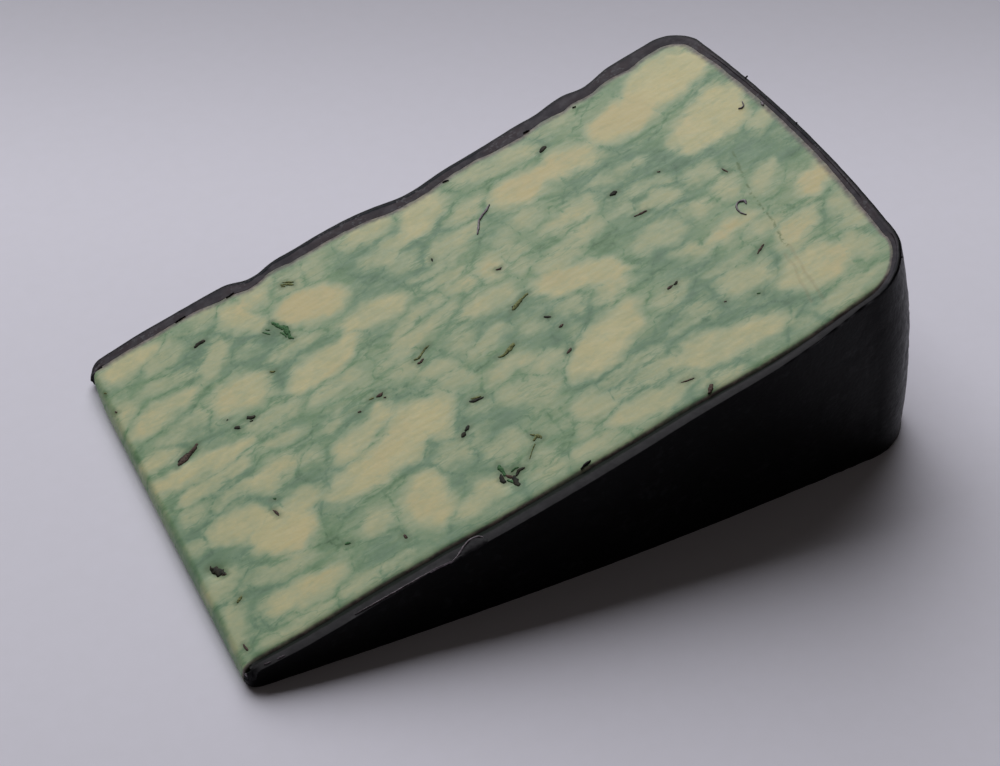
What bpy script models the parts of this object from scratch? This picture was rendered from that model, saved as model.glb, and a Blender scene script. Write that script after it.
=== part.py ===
"""A wedge of green-marbled sage cheese in a black wax rind, lying on one of its two cut faces.

The wedge is a slice of a round wheel. The wheel's axis lies along Y, just past the thin end of the wedge,
and its radius runs along +X from there, so the slice opens from the bottom cut face, on the ground, up to
the top one. Metres, +Z up, with the origin under the middle of the wedge.

The solid starts as a cube with a grid on its faces. Each grid point then moves to its place in the slice:
three sides become the waxed outside of the wheel, one the blunt tip, and top and bottom the two cuts.
"""

import math

import bmesh
import bpy
from mathutils import Vector, noise

MM = 0.001
NAME = "cheese_wedge"

# The wheel, and the slice cut from it
RIM_RADIUS = 117.3 * MM  # wheel axis to the rim, half way between the wheel's two flat sides
RIM_BULGE = 2.3 * MM  # how much less that is at the corners
NEAR_HALF = 33.6 * MM  # middle of the wheel to its flat side at -Y, at the tip
NEAR_TAPER = 0.7 * MM  # less by this at the rim
NEAR_DOME = 1.6 * MM  # that side swells by this half way along
NEAR_LEAN = 0.02  # and leans in towards the bottom, as a share of the height
FAR_HALF = 33.9 * MM  # middle of the wheel to its flat side at +Y
NEAR_CORNER = 8.5 * MM  # rounding between rim and flat side, seen on a cut
FAR_CORNER = 5.2 * MM
SLICE_ANGLE = math.radians(17.4)
TIP_RADIUS = 9.6 * MM  # the slice stops this short of the wheel axis
TIP_CORNER = 2.2 * MM  # rounding of the two ends of the tip, seen from above

# The waxed side at +Y ripples: place along the radius, depth and half width of each hollow
FAR_HOLLOWS = (
    (38.3 * MM, 1.3 * MM, 2.8 * MM),
    (44.5 * MM, 0.5 * MM, 5.0 * MM),
    (64.5 * MM, 1.1 * MM, 5.0 * MM),
    (74.0 * MM, 1.9 * MM, 20.0 * MM),
    (98.0 * MM, 0.75 * MM, 2.4 * MM),
)
HOLLOW_DRIFT = 0.12  # the hollows lean towards the rim further down, as a share of the height
RIPPLE_DEPTH = 0.35 * MM  # uneven hand-dipped wax everywhere else
RIPPLE_LENGTH = 24 * MM

# Across the edge of a cut face, from the outside in: rounded lip, flat band of cut wax, groove, cheese
RING_INSETS = (0.35 * MM, 0.9 * MM, 1.7 * MM, 2.1 * MM, 2.6 * MM)
RING_LIFTS = (-0.14 * MM, 0.0, 0.0, -0.4 * MM, 0.0)
RING_START = 3.0 * MM  # lip and groove grow to their full depth over this distance from the tip
LIP_DROP = 0.5 * MM  # the waxed side starts this far below the cut,
MOST_LIP = 0.25  # or this share of the height where the slice is thin

# The tip between the two cut faces
TOP_NOSE = 1.3 * MM  # radius of its upper edge
BOTTOM_NOSE = 0.5 * MM
NOSE_BULGE = 0.25 * MM

# The knife left the top cut a little uneven
CUT_WAVE = 0.22 * MM
CUT_WAVE_LENGTH = 30 * MM

# Grid steps along the radius, across the wheel and through the slice
LENGTH_STEPS = 46
WIDTH_STEPS = 30
HEIGHT_STEPS = 9
CORNER_STEPS = 8  # of the length steps, on the half of a corner nearer the flat side
RIM_CORNER_STEPS = 7  # of the width steps, on the half nearer the rim
NOSE_STEPS = 3  # of the length steps, on the rounding at the tip

CHEESE_COLOR = (0.62, 0.60, 0.34, 1.0)
WAX_COLOR = (0.012, 0.011, 0.013, 1.0)


def clear_scene():
    for obj in list(bpy.data.objects):
        bpy.data.objects.remove(obj)


def make_material(name, color, roughness):
    material = bpy.data.materials.new(name)
    material.use_nodes = True
    shader = material.node_tree.nodes["Principled BSDF"]
    shader.inputs["Base Color"].default_value = color
    shader.inputs["Roughness"].default_value = roughness
    shader.inputs["Metallic"].default_value = 0.0
    return material


class Outline:
    """The slice's waxed outside as a cut shows it, in (radius, y) points from the wheel's axis and middle.

    depth is 0 at the top cut and 1 at the bottom one, and inset is how far within the outside it runs.
    """

    def __init__(self, depth, inset):
        self.depth = depth
        self.inset = inset

    def below(self, radius):
        """How far below the top cut this is, measured along the wheel's turn."""
        return self.depth * SLICE_ANGLE * radius

    def near_side(self, radius):
        """Y of the flat side at -Y."""
        share = (radius - TIP_RADIUS) / (RIM_RADIUS - TIP_RADIUS)
        half = NEAR_HALF - NEAR_TAPER * share + NEAR_DOME * math.sin(math.pi * share)
        return -half + NEAR_LEAN * self.below(radius)

    def far_side(self, radius):
        """Y of the flat side at +Y."""
        half = FAR_HALF
        for hollow_radius, depth, half_width in FAR_HOLLOWS:
            offset = radius - hollow_radius - HOLLOW_DRIFT * self.below(radius)
            half -= depth * math.exp(-((offset / half_width) ** 2))
        return half

    def flat_side(self, side, radius):
        """Y of the outline along the flat side at -Y (side -1) or +Y (side 1)."""
        y = self.near_side(radius) if side < 0 else self.far_side(radius)
        return y - side * self.inset

    def rim(self, y):
        """Radius of the outline along the rim."""
        return RIM_RADIUS - RIM_BULGE * (y / FAR_HALF) ** 2 - self.inset

    def corner(self, side, turn):
        """The rounded corner. turn is 0 where it leaves the flat side and 1 where it meets the rim."""
        size = NEAR_CORNER if side < 0 else FAR_CORNER
        reach = size - self.inset
        angle = 0.5 * math.pi * turn
        centre_radius = self.rim(FAR_HALF) - reach
        centre_y = self.flat_side(side, centre_radius) - side * reach
        y = centre_y + side * reach * math.cos(angle)
        bulge = (self.rim(y) - self.rim(FAR_HALF)) * math.sin(angle) ** 4
        return centre_radius + reach * math.sin(angle) + bulge, y

    def along_side(self, side, i, ring):
        """The point of row i along a flat side: nose, straight stretch, then half of the corner."""
        last = LENGTH_STEPS - CORNER_STEPS
        if i > last:
            return self.corner(side, 0.5 * (i - last) / (CORNER_STEPS - ring))
        start = tip(-NEAR_HALF + self.inset if side < 0 else FAR_HALF - self.inset)
        if i <= NOSE_STEPS:
            radius = start + TOP_NOSE * (1 - math.cos(0.5 * math.pi * i / NOSE_STEPS))
        else:
            end = self.corner(side, 0.0)[0]
            radius = start + TOP_NOSE + (end - start - TOP_NOSE) * (i - NOSE_STEPS) / (last - NOSE_STEPS)
        return radius, self.flat_side(side, radius)

    def along_rim(self, j, ring):
        """The point of column j along the rim: half of one corner, the rim, then half of the other."""
        side = -1 if j < WIDTH_STEPS / 2 else 1
        from_side = j if side < 0 else WIDTH_STEPS - j
        if from_side < RIM_CORNER_STEPS:
            return self.corner(side, 0.5 + 0.5 * (from_side - ring) / (RIM_CORNER_STEPS - ring))
        low, high = self.corner(-1, 1.0)[1], self.corner(1, 1.0)[1]
        share = (j - RIM_CORNER_STEPS) / (WIDTH_STEPS - 2 * RIM_CORNER_STEPS)
        y = low + (high - low) * share
        return self.rim(y), y

    def point(self, i, j, ring=0):
        """The point of grid point (i, j), which is this many steps in from the grid's edge."""
        if j == ring:
            return self.along_side(-1, i, ring)
        if j == WIDTH_STEPS - ring:
            return self.along_side(1, i, ring)
        return self.along_rim(j, ring)


def tip(y):
    """Radius of the tip at this Y: straight, with its two ends rounded."""
    to_end = FAR_HALF - y if y > 0 else NEAR_HALF + y
    past = min(TIP_CORNER, max(0.0, TIP_CORNER - to_end))
    return TIP_RADIUS + TIP_CORNER - math.sqrt(TIP_CORNER**2 - past**2)


def cheese_point(i, j, depth):
    """(radius, y) of a grid point on the cheese of a cut, spread evenly inside the innermost ring."""
    ring = len(RING_INSETS) - 1
    outline = Outline(depth, RING_INSETS[ring])
    last_i, last_j = LENGTH_STEPS - ring, WIDTH_STEPS - ring
    corners = [Vector(outline.point(a, b, ring)) for a in (0, last_i) for b in (ring, last_j)]
    sides = [Vector(outline.point(i, edge, ring)) for edge in (ring, last_j)]
    across = (j - ring) / (last_j - ring)
    along = (sides[0].x - corners[0].x) / (corners[2].x - corners[0].x)
    tip_y = corners[0].y + (corners[1].y - corners[0].y) * across
    ends = [Vector((tip(tip_y), tip_y)), Vector(outline.point(last_i, j, ring))]
    between_corners = corners[0].lerp(corners[1], across).lerp(corners[2].lerp(corners[3], across), along)
    return sides[0].lerp(sides[1], across) + ends[0].lerp(ends[1], along) - between_corners


def cut_point(i, j, depth):
    """(radius, y, lift) of a grid point on a cut. lift is how far it stands out from the plane of the cut."""
    ring = min(j, WIDTH_STEPS - j, LENGTH_STEPS - i)
    if ring >= len(RING_INSETS):
        return *cheese_point(i, j, depth), 0.0
    radius, y = Outline(depth, RING_INSETS[ring]).point(i, j, ring)
    return radius, y, RING_LIFTS[ring] * min(1.0, (radius - tip(y)) / RING_START)


def nose_drop(radius, y, size):
    """How far the rounding at the tip takes a cut in from its plane. size is the rounding's height."""
    left = max(0.0, 1 - (radius - tip(y)) / TOP_NOSE)
    return size * (1 - math.sqrt(max(0.0, 1 - left**2)))


def cut_wave(radius, y):
    """How far the knife's unevenness lifts the top cut, which is not at all at its edges."""
    wave = CUT_WAVE * noise.noise(Vector((radius, y, 0.0)) / CUT_WAVE_LENGTH)
    for inside in (RIM_RADIUS - radius, NEAR_HALF - abs(y), radius - TIP_RADIUS):
        wave *= min(1.0, max(0.0, inside / CUT_WAVE_LENGTH))
    return wave


def place(radius, y, angle, lift=0.0):
    """The point at this radius and angle about the wheel's axis, lifted square to its radius."""
    x = radius * math.cos(angle) - lift * math.sin(angle)
    z = radius * math.sin(angle) + lift * math.cos(angle)
    return Vector((x, y, z))


def top_vertex(i, j):
    radius, y, lift = cut_point(i, j, 0.0)
    return place(radius, y, SLICE_ANGLE, lift + cut_wave(radius, y) - nose_drop(radius, y, TOP_NOSE))


def bottom_vertex(i, j):
    radius, y, lift = cut_point(i, j, 1.0)
    return place(radius, y, 0.0, nose_drop(radius, y, BOTTOM_NOSE) - lift)


def side_vertex(i, j, k):
    """A point on the waxed outside, between the rounded lips below the top cut and above the bottom one."""
    low, high = bottom_vertex(i, j), top_vertex(i, j)
    lip = min(LIP_DROP / (high - low).length, MOST_LIP)
    share = lip + (1 - 2 * lip) * (k - 1) / (HEIGHT_STEPS - 2)
    low_angle, high_angle = math.atan2(low.z, low.x), math.atan2(high.z, high.x)
    angle = low_angle + (high_angle - low_angle) * share
    point = place(*Outline(1 - angle / SLICE_ANGLE, 0.0).point(i, j), angle)
    outward = (point - place(0.5 * RIM_RADIUS, 0.0, angle)).normalized()
    fade = math.sin(math.pi * share)
    return point + outward * RIPPLE_DEPTH * fade * noise.noise(point / RIPPLE_LENGTH)


def tip_vertex(j, k):
    """A point on the blunt tip, between the ends of the roundings of the two cuts."""
    share = k / HEIGHT_STEPS
    point = bottom_vertex(0, j).lerp(top_vertex(0, j), share)
    point.x -= NOSE_BULGE * math.sin(math.pi * share)
    return point


def wedge_vertex(i, j, k):
    """The place in the slice of grid point (i, j, k) of the cube."""
    if k == HEIGHT_STEPS:
        return top_vertex(i, j)
    if k == 0:
        return bottom_vertex(i, j)
    if i == 0:
        return tip_vertex(j, k)
    return side_vertex(i, j, k)


def gridded_cube():
    """A unit cube from (0, 0, 0) to (1, 1, 1) with its faces divided into the grid."""
    cube = bmesh.new()
    bmesh.ops.create_cube(cube, size=1.0)
    bmesh.ops.translate(cube, verts=cube.verts, vec=(0.5, 0.5, 0.5))
    for axis, steps in enumerate((LENGTH_STEPS, WIDTH_STEPS, HEIGHT_STEPS)):
        edges = [e for e in cube.edges if abs(e.verts[0].co[axis] - e.verts[1].co[axis]) > 0.5]
        bmesh.ops.subdivide_edges(cube, edges=edges, cuts=steps - 1, use_grid_fill=True)
    return cube


def is_waxed(i_low, j_low, j_high, i_high, on_cut):
    """Whether a face between these grid lines is wax: all of the outside, and the rim of the cuts."""
    cheese_ring = len(RING_INSETS) - 1
    inside = j_low >= cheese_ring and j_high <= WIDTH_STEPS - cheese_ring
    if on_cut:
        return not (inside and i_high <= LENGTH_STEPS - cheese_ring)
    return not (inside and i_high == i_low == 0)


def build_wedge():
    cube = gridded_cube()
    steps = LENGTH_STEPS, WIDTH_STEPS, HEIGHT_STEPS
    grid = {v: tuple(round(v.co[a] * steps[a]) for a in range(3)) for v in cube.verts}
    for face in cube.faces:
        i_all, j_all, k_all = zip(*(grid[v] for v in face.verts))
        on_cut = max(k_all) == 0 or min(k_all) == HEIGHT_STEPS
        waxed = is_waxed(min(i_all), min(j_all), max(j_all), max(i_all), on_cut)
        face.material_index = 1 if waxed else 0
        face.smooth = True
    for vertex, index in grid.items():
        vertex.co = wedge_vertex(*index)
    low = Vector(min(v.co[a] for v in cube.verts) for a in range(3))
    high = Vector(max(v.co[a] for v in cube.verts) for a in range(3))
    to_origin = Vector((-(low.x + high.x) / 2, -(low.y + high.y) / 2, -low.z))
    bmesh.ops.translate(cube, verts=cube.verts, vec=to_origin)
    bmesh.ops.recalc_face_normals(cube, faces=cube.faces)
    mesh = bpy.data.meshes.new(NAME)
    cube.to_mesh(mesh)
    cube.free()
    mesh.materials.append(make_material("marbled_cheese", CHEESE_COLOR, 0.45))
    mesh.materials.append(make_material("black_wax", WAX_COLOR, 0.38))
    mesh.set_sharp_from_angle(angle=math.radians(40))
    return bpy.data.objects.new(NAME, mesh)


def main():
    clear_scene()
    collection = bpy.data.collections.new("sage_cheese_wedge")
    bpy.context.scene.collection.children.link(collection)
    collection.objects.link(build_wedge())


main()
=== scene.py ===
"""Looks of a wedge of green-marbled sage cheese in a black wax rind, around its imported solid.

The wedge is a slice of a round wheel, lying on one of its two cuts. Shapes are worked out in millimetres in
the wheel's frame: the wheel's axis along Y, the radius along +X on the lower cut. A place on a cut is
(radius, y), and a lift stands out from the cut. place_in_row() takes the finished points to the row frame.
The near side is the waxed side at -Y (side -1) and the far side the one at +Y (side 1). A depth is 0 at the
top cut and 1 at the bottom one. An inset from an edge is (fixed, share of the wax's width).
"""

import math
import random

import bpy
import numpy as np
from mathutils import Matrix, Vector, noise


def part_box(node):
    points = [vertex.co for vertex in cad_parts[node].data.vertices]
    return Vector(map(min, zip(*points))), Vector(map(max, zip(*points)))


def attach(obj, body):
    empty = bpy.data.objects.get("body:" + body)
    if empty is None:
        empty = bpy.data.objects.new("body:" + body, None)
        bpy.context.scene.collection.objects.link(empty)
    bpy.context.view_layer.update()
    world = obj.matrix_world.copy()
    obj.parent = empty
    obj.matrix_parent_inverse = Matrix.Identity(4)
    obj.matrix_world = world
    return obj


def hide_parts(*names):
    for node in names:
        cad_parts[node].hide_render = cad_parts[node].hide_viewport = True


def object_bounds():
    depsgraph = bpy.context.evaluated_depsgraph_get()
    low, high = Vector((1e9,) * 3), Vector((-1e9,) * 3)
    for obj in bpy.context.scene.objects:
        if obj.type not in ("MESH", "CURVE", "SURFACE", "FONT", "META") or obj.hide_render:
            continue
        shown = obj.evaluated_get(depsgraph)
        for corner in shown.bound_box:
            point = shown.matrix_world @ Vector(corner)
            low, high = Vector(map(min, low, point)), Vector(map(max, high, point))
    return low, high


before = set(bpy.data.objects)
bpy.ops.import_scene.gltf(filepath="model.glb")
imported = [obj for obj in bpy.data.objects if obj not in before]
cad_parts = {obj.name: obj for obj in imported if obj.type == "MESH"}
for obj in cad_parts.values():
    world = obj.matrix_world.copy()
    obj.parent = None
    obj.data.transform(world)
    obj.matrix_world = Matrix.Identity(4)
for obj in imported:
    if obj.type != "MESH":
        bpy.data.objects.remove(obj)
CAD_LOW, CAD_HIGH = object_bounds()

MM = 0.001
NODE = "cheese_wedge"
BODY = "root"
SEED = 11

# ---------------------------------------------------------------- sizes in millimetres, as in the solid

RIM_RADIUS = 117.3
RIM_BULGE = 2.3  # the rim is this much further out at its middle than at the sides
NEAR_HALF = 33.6
NEAR_TAPER = 0.7  # the near side comes in by this much from the tip to the rim
NEAR_DOME = 1.6  # stands out by this much halfway
NEAR_LEAN = 0.02  # and leans in by this share of the way down from the top cut
FAR_HALF = 33.9
FAR_HOLLOWS = (  # place along the radius, depth and half width
    (38.3, 1.3, 2.8),
    (44.5, 0.5, 5.0),
    (64.5, 1.1, 5.0),
    (74.0, 1.9, 20.0),
    (98.0, 0.75, 2.4),
)
HOLLOW_DRIFT = 0.12  # they move out along the radius by this share of the way down
NEAR_CORNER = 8.5
FAR_CORNER = 5.2
SLICE_ANGLE = math.radians(17.4)
TIP_RADIUS = 9.6
NEAR_TIP_CORNER = 1.3
FAR_TIP_CORNER = 3.0
RIPPLE_DEPTH = 0.35
RIPPLE_LENGTH = 24.0
TOP_NOSE = 1.3  # size of the rounding between the top cut and the tip's face
BOTTOM_NOSE = 0.5
NOSE_BULGE = 0.25  # how far the tip's face bulges
CUT_WAVE = 0.22  # how far the top cut goes up and down
CUT_WAVE_LENGTH = 30.0
SOLID_LEAST_X = 9.3255  # lowest X and Y of the solid in the wheel's frame
SOLID_LEAST_Y = -34.852

# ---------------------------------------------------------------- sizes that the scene alone has

# Hollows of the two sides that fade out downwards: place along the radius, depth and half width.
# A depth below 0 is a bulge.
NEAR_HOLLOWS = (
    (19.0, -0.4, 8.0), (39.5, 0.3, 4.5), (62.0, -0.3, 22.0), (91.0, -0.62, 9.0), (107.0, 0.5, 5.0),
)
FAR_TRIMS = ((10.5, 0.35, 2.5), (13.5, 0.33, 4.0), (36.3, 0.3, 1.6), (88.0, 0.35, 2.5), (95.8, 0.5, 1.8))

# Width of the wax on a cut, groove included, at places along the radius or across the rim
NEAR_WIDTHS = (
    (9.6, 1.5), (12.0, 2.2), (20.0, 2.45), (32.0, 2.6), (38.0, 2.35), (44.0, 2.5), (60.0, 2.6),
    (76.0, 2.3), (84.0, 2.1), (92.0, 1.9), (100.0, 1.5), (106.0, 1.25), (112.0, 1.2),
)
FAR_WIDTHS = (
    (9.6, 1.2), (12.0, 2.0), (16.0, 2.0), (20.0, 2.25), (24.0, 2.2), (28.0, 2.2), (32.0, 3.0), (36.0, 2.6),
    (40.0, 1.65), (44.0, 2.5), (52.0, 2.6), (60.0, 2.9), (64.0, 2.4), (68.0, 2.5), (72.0, 2.1), (76.0, 2.1),
    (80.0, 2.7), (84.0, 3.1), (88.0, 2.4), (92.0, 3.3), (96.0, 2.4), (100.0, 2.4), (104.0, 3.3), (108.0, 2.6),
    (112.0, 2.3),
)
RIM_WIDTHS = (
    (-30.0, 1.15), (-25.0, 1.75), (-19.0, 1.85), (-8.0, 1.5), (0.0, 1.5), (12.0, 1.5), (22.0, 1.6),
    (30.0, 2.1),
)
NEAR_WIDTH_NOISE = 0.05  # how much the widths vary on top of that
FAR_WIDTH_NOISE = 0.16
RIM_WIDTH_NOISE = 0.1
SIDE_NOISE_Y = 60.0  # the widths' noise is read here, outside the wedge
RIM_NOISE_RADIUS = 200.0

# The wax across a cut, from the outside in: fixed inset, share of the wax's width, lift
WAX_EDGE_RINGS = ((0.03, 0.0, -0.3), (0.09, 0.0, -0.14), (0.2, 0.0, -0.03), (0.34, 0.0, 0.0))
WAX_FLAT_RINGS = (
    (0.2, 0.2, 0.0), (0.1, 0.35, -0.01), (0.0, 0.5, -0.02), (-0.35, 0.7, -0.04), (-0.6, 0.85, -0.09),
    (-0.68, 1.0, -0.2), (-0.5, 1.0, -0.33), (-0.3, 1.0, -0.39), (-0.1, 1.0, -0.46),
)
WAX_HIDDEN_RINGS = ((0.12, 1.0, -0.8), (0.12, 1.0, -1.1))
HIDDEN_INSET = 3.0  # what the wax's material takes as the inset where the wax is hidden
NEAR_FADE_Y = (-32.0, -23.0)  # what only the near side has fades out between these Y
NEAR_FADE_RADIUS = (106.0, 112.5)  # and round the corner between these radii
NEAR_EDGE_SIZE = 0.2  # size of the near side's rounded edge, as a share of the other edges' size
CUT_START = 0.05  # inset at which the cut wax starts on the near side's rounded edge
BURR_END = 0.3  # the burr goes from there to this inset
BURR_HEIGHT = 0.14
BURR_ALONG = ((24.0, 30.0), (38.0, 41.0))  # its rise and fall along the near side
RAGGED_EDGE = 0.16  # how far the wax's outer edge on a cut goes in and out at the near side's thick end
RAGGED_ELSEWHERE = 0.25  # and elsewhere, as a share of that
RAGGED_ALONG = (86.0, 104.0)  # its rise along the near side
RAGGED_FADE_Y = (-28.0, -20.0)  # and its end round the corner
GROOVE_ELSEWHERE = 0.2  # the groove's depth on the other sides, as a share of its depth on the near one
CUT_NOISE = 0.03
TIP_CUT = (10.5, 14.5)  # near the tip the near band counts as cut less, until between these radii
TIP_CUT_LESS = 0.75
SCAR_DEPTH = 0.4  # of the scars on the outside
SCARRED_END = (94.0, 112.0)  # their rise along X
EDGE_HEIGHT = 0.5  # of the wax's rounded edge
MOST_EDGE_HEIGHT = 0.25  # as a share of the slice's height there
RIM_START = 112.0  # an edge's place counts as one on the rim from this radius
RIM_INSET_FACTOR = 1.6
RIM_INSET_RISE = 3.0
# The dark lip that the knife left at the wax's outer edge: its rise and fall, and its share elsewhere
LIP_ALONG_FAR = ((33.0, 38.0), (76.0, 82.0))
LIP_ACROSS_RIM = ((-9.0, -4.0), (10.0, 15.0))
LIP_ELSEWHERE = 0.35
# The cheese beside the wax: distance inside the wax's inner edge, and lift
CHEESE_RINGS = (
    (-0.3, -1.3), (-0.26, -0.62), (-0.14, -0.4), (0.0, -0.27), (0.16, -0.16), (0.36, -0.08),
    (0.6, -0.03), (0.9, -0.005), (1.25, 0.0),
)
ROUGH_RIM_WAX = 2.0  # a rough width of the rim's wax
RINGS_START = 3.0  # groove and cheese edge grow to their full depth over this distance from the tip
LEAST_GROOVE = 0.15  # from this share of it where they are seen
LEAST_HIDDEN = 0.35  # and from this one where they are hidden
CHEESE_BACK = 0.12  # the cheese's tip stands this far behind the wax's outline
FAR_CHEESE_CORNER = (2.5, 3.3)  # size along the radius and along Y of its rounded far corner
FAR_CHEESE_CORNER_START = 28.4
NOSE_BULGE_END = (24.0, 29.0)  # the bulge of the tip's face fades out between these Y
FAR_TIP_TURN = 0.8  # in quarter turns from the far side, how far the wax goes round the tip's corner
TIP_CORNER_WAX = 0.8  # most of a tip corner's size that its wax takes up

# Steps of the cheese's grids
LENGTH_STEPS = 316
WIDTH_STEPS = 204
CORNER_STEPS = 24
RIM_CORNER_STEPS = 22
NOSE_STEPS = 8
NOSE_ROWS = 5
BOTTOM_SHARE = 4  # the bottom cut's grid is coarser than the top cut's by this
# Steps along the wax's edge, in millimetres and, at the corners, in quarter turns, and its rows
WAX_STEP = 0.45
NEAR_TIP_STEP = 0.1
NEAR_CORNER_STEP = 0.035
FAR_CORNER_STEP = 0.06
FAR_TIP_STEP = 0.08
WALL_ROWS = 66
INNER_ROWS = 6


# ---------------------------------------------------------------- small helpers


def smooth(low, high, value):
    """0 below low, 1 above high, and a smooth rise between."""
    share = np.clip((value - low) / (high - low), 0.0, 1.0)
    return share * share * (3.0 - 2.0 * share)


def rise_and_fall(value, rise, fall):
    """1 between a rise and a fall, and 0 outside them."""
    return smooth(*rise, value) * (1.0 - smooth(*fall, value))


def mix(low, high, share):
    return low + (high - low) * share


def noise_at(points, length, seed=0.0):
    """Smooth noise from about -1 to 1 at each of the points, with features of this length."""
    shift = Vector((seed * 17.3, seed * 5.1, seed * 9.7))
    return np.array([noise.noise(Vector(point) / length + shift) for point in points])


def flat_points(radius, y):
    """Points on the drawing plane of a cut, for noise."""
    return np.column_stack([np.ravel(radius), np.ravel(y), np.zeros(np.size(radius))])


# ---------------------------------------------------------------- outline of the slice


def hollow_depth(radius, hollows):
    """How far these hollows take a flat side in at this radius."""
    depth = 0.0
    for hollow_radius, full_depth, half_width in hollows:
        depth = depth + full_depth * np.exp(-(((radius - hollow_radius) / half_width) ** 2))
    return depth


def near_side(radius, depth):
    share = (radius - TIP_RADIUS) / (RIM_RADIUS - TIP_RADIUS)
    half = NEAR_HALF - NEAR_TAPER * share + NEAR_DOME * np.sin(np.pi * share)
    half = half - hollow_depth(radius, NEAR_HOLLOWS) * (1.0 - depth)
    return -half + NEAR_LEAN * depth * SLICE_ANGLE * radius


def far_side(radius, depth):
    drifted = radius - HOLLOW_DRIFT * depth * SLICE_ANGLE * radius
    return FAR_HALF - hollow_depth(drifted, FAR_HOLLOWS) - hollow_depth(radius, FAR_TRIMS) * (1.0 - depth)


def flat_side(side, radius, depth):
    """Y of a waxed side."""
    return near_side(radius, depth) if side < 0 else far_side(radius, depth)


def rim(y):
    return RIM_RADIUS - RIM_BULGE * (y / FAR_HALF) ** 2


def side_width(side, radius):
    """Width of the wax on a cut along a flat side."""
    widths = NEAR_WIDTHS if side < 0 else FAR_WIDTHS
    uneven = NEAR_WIDTH_NOISE if side < 0 else FAR_WIDTH_NOISE
    points = flat_points(radius, np.full(np.shape(radius), SIDE_NOISE_Y * side))
    waves = noise_at(points, 2.6, 1.0) + 0.6 * noise_at(points, 1.1, 2.0)
    return np.interp(radius, *zip(*widths)) + uneven * waves.reshape(np.shape(radius))


def rim_width(y):
    """Width of the wax on a cut along the rim."""
    points = flat_points(np.full(np.shape(y), RIM_NOISE_RADIUS), y)
    waves = noise_at(points, 2.2, 3.0).reshape(np.shape(y))
    return np.interp(y, *zip(*RIM_WIDTHS)) + RIM_WIDTH_NOISE * waves


def on_flat(side, radius, inset, depth):
    """Places along a flat side."""
    fixed, share = inset
    width = side_width(side, radius) if share else 0.0
    return radius, flat_side(side, radius, depth) - side * (fixed + share * width)


def corner_centre(side, depth):
    size = NEAR_CORNER if side < 0 else FAR_CORNER
    radius = RIM_RADIUS - RIM_BULGE - size
    return radius, flat_side(side, radius, depth) - side * size


def on_corner(side, turn, inset, depth):
    """Places round the corner. turn is 0 where it leaves the flat side and 1 where it meets the rim."""
    fixed, share = inset
    size = NEAR_CORNER if side < 0 else FAR_CORNER
    centre_radius, centre_y = corner_centre(side, depth)
    widths = side_width(side, centre_radius), rim_width(side * (FAR_HALF - size))
    width = mix(*widths, turn**2) if share else 0.0
    reach = size - fixed - share * width
    angle = 0.5 * np.pi * turn
    y = centre_y + side * reach * np.cos(angle)
    bulge = (rim(y) - RIM_RADIUS + RIM_BULGE) * np.sin(angle) ** 4
    return centre_radius + reach * np.sin(angle) + bulge, y


def on_rim(y, inset):
    """Places across the rim."""
    fixed, share = inset
    width = rim_width(y) if share else 0.0
    return rim(y) - fixed - share * width, y


def on_tip_corner(side, turn, inset, depth):
    """Places round the corner at the tip. turn is 0 on the flat side and 1 on the tip's own face."""
    fixed, share = inset
    size = NEAR_TIP_CORNER if side < 0 else FAR_TIP_CORNER
    centre_radius = TIP_RADIUS + size
    taper = 1.0 - 0.6 * turn
    width = np.minimum(side_width(side, centre_radius), TIP_CORNER_WAX * size) * taper if share else 0.0
    reach = np.maximum(size - np.maximum(fixed + share * width, 0.0), 0.1)
    centre_y = flat_side(side, centre_radius, depth) - side * size
    angle = 0.5 * np.pi * turn
    return centre_radius - reach * np.sin(angle), centre_y + side * reach * np.cos(angle)


def tip(y):
    """Radius of the tip at this Y: straight, with its two ends rounded."""
    to_end = np.where(y > 0, FAR_HALF - y, NEAR_HALF + y)
    size = np.where(y > 0, FAR_TIP_CORNER, NEAR_TIP_CORNER)
    past = np.clip(size - to_end, 0.0, size)
    return TIP_RADIUS + size - np.sqrt(size**2 - past**2)


def cheese_tip(y):
    """Radius at which the cheese starts at this Y, with a rounded corner where the wax wraps its far end."""
    length, width = FAR_CHEESE_CORNER
    share = np.clip((y - FAR_CHEESE_CORNER_START) / width, 0.0, 0.995)
    far_end = TIP_RADIUS + length * (1.0 - np.sqrt(1.0 - share**2))
    return CHEESE_BACK + np.where(y > 0.0, far_end, tip(y))


def nose_drop(radius, y, size):
    """How far the rounding at the tip takes a cut in from its plane. size is the rounding's height."""
    left = np.clip(1.0 - (radius - tip(y)) / TOP_NOSE, 0.0, 1.0)
    return size * (1.0 - np.sqrt(1.0 - left**2))


def pits(radius, y):
    """How far the hollows under the largest flecks lower the top cut."""
    depth = 0.0
    for pit_radius, pit_y, pit_depth, half_width in PITS:
        distance = np.hypot(radius - pit_radius, y - pit_y)
        depth = depth + pit_depth * np.exp(-((distance / half_width) ** 2))
    return depth


def cut_wave(radius, y):
    """How far the knife's unevenness lifts the top cut."""
    wave = CUT_WAVE * noise_at(flat_points(radius, y), CUT_WAVE_LENGTH).reshape(np.shape(radius))
    for inside in (RIM_RADIUS - radius, NEAR_HALF - abs(y), radius - TIP_RADIUS):
        wave = wave * np.clip(inside / CUT_WAVE_LENGTH, 0.0, 1.0)
    return wave


def nearness(radius, y):
    """1 on the near side, fading out round its corner, and 0 on the rest."""
    return (1.0 - smooth(*NEAR_FADE_Y, y)) * (1.0 - smooth(*NEAR_FADE_RADIUS, radius))


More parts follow.
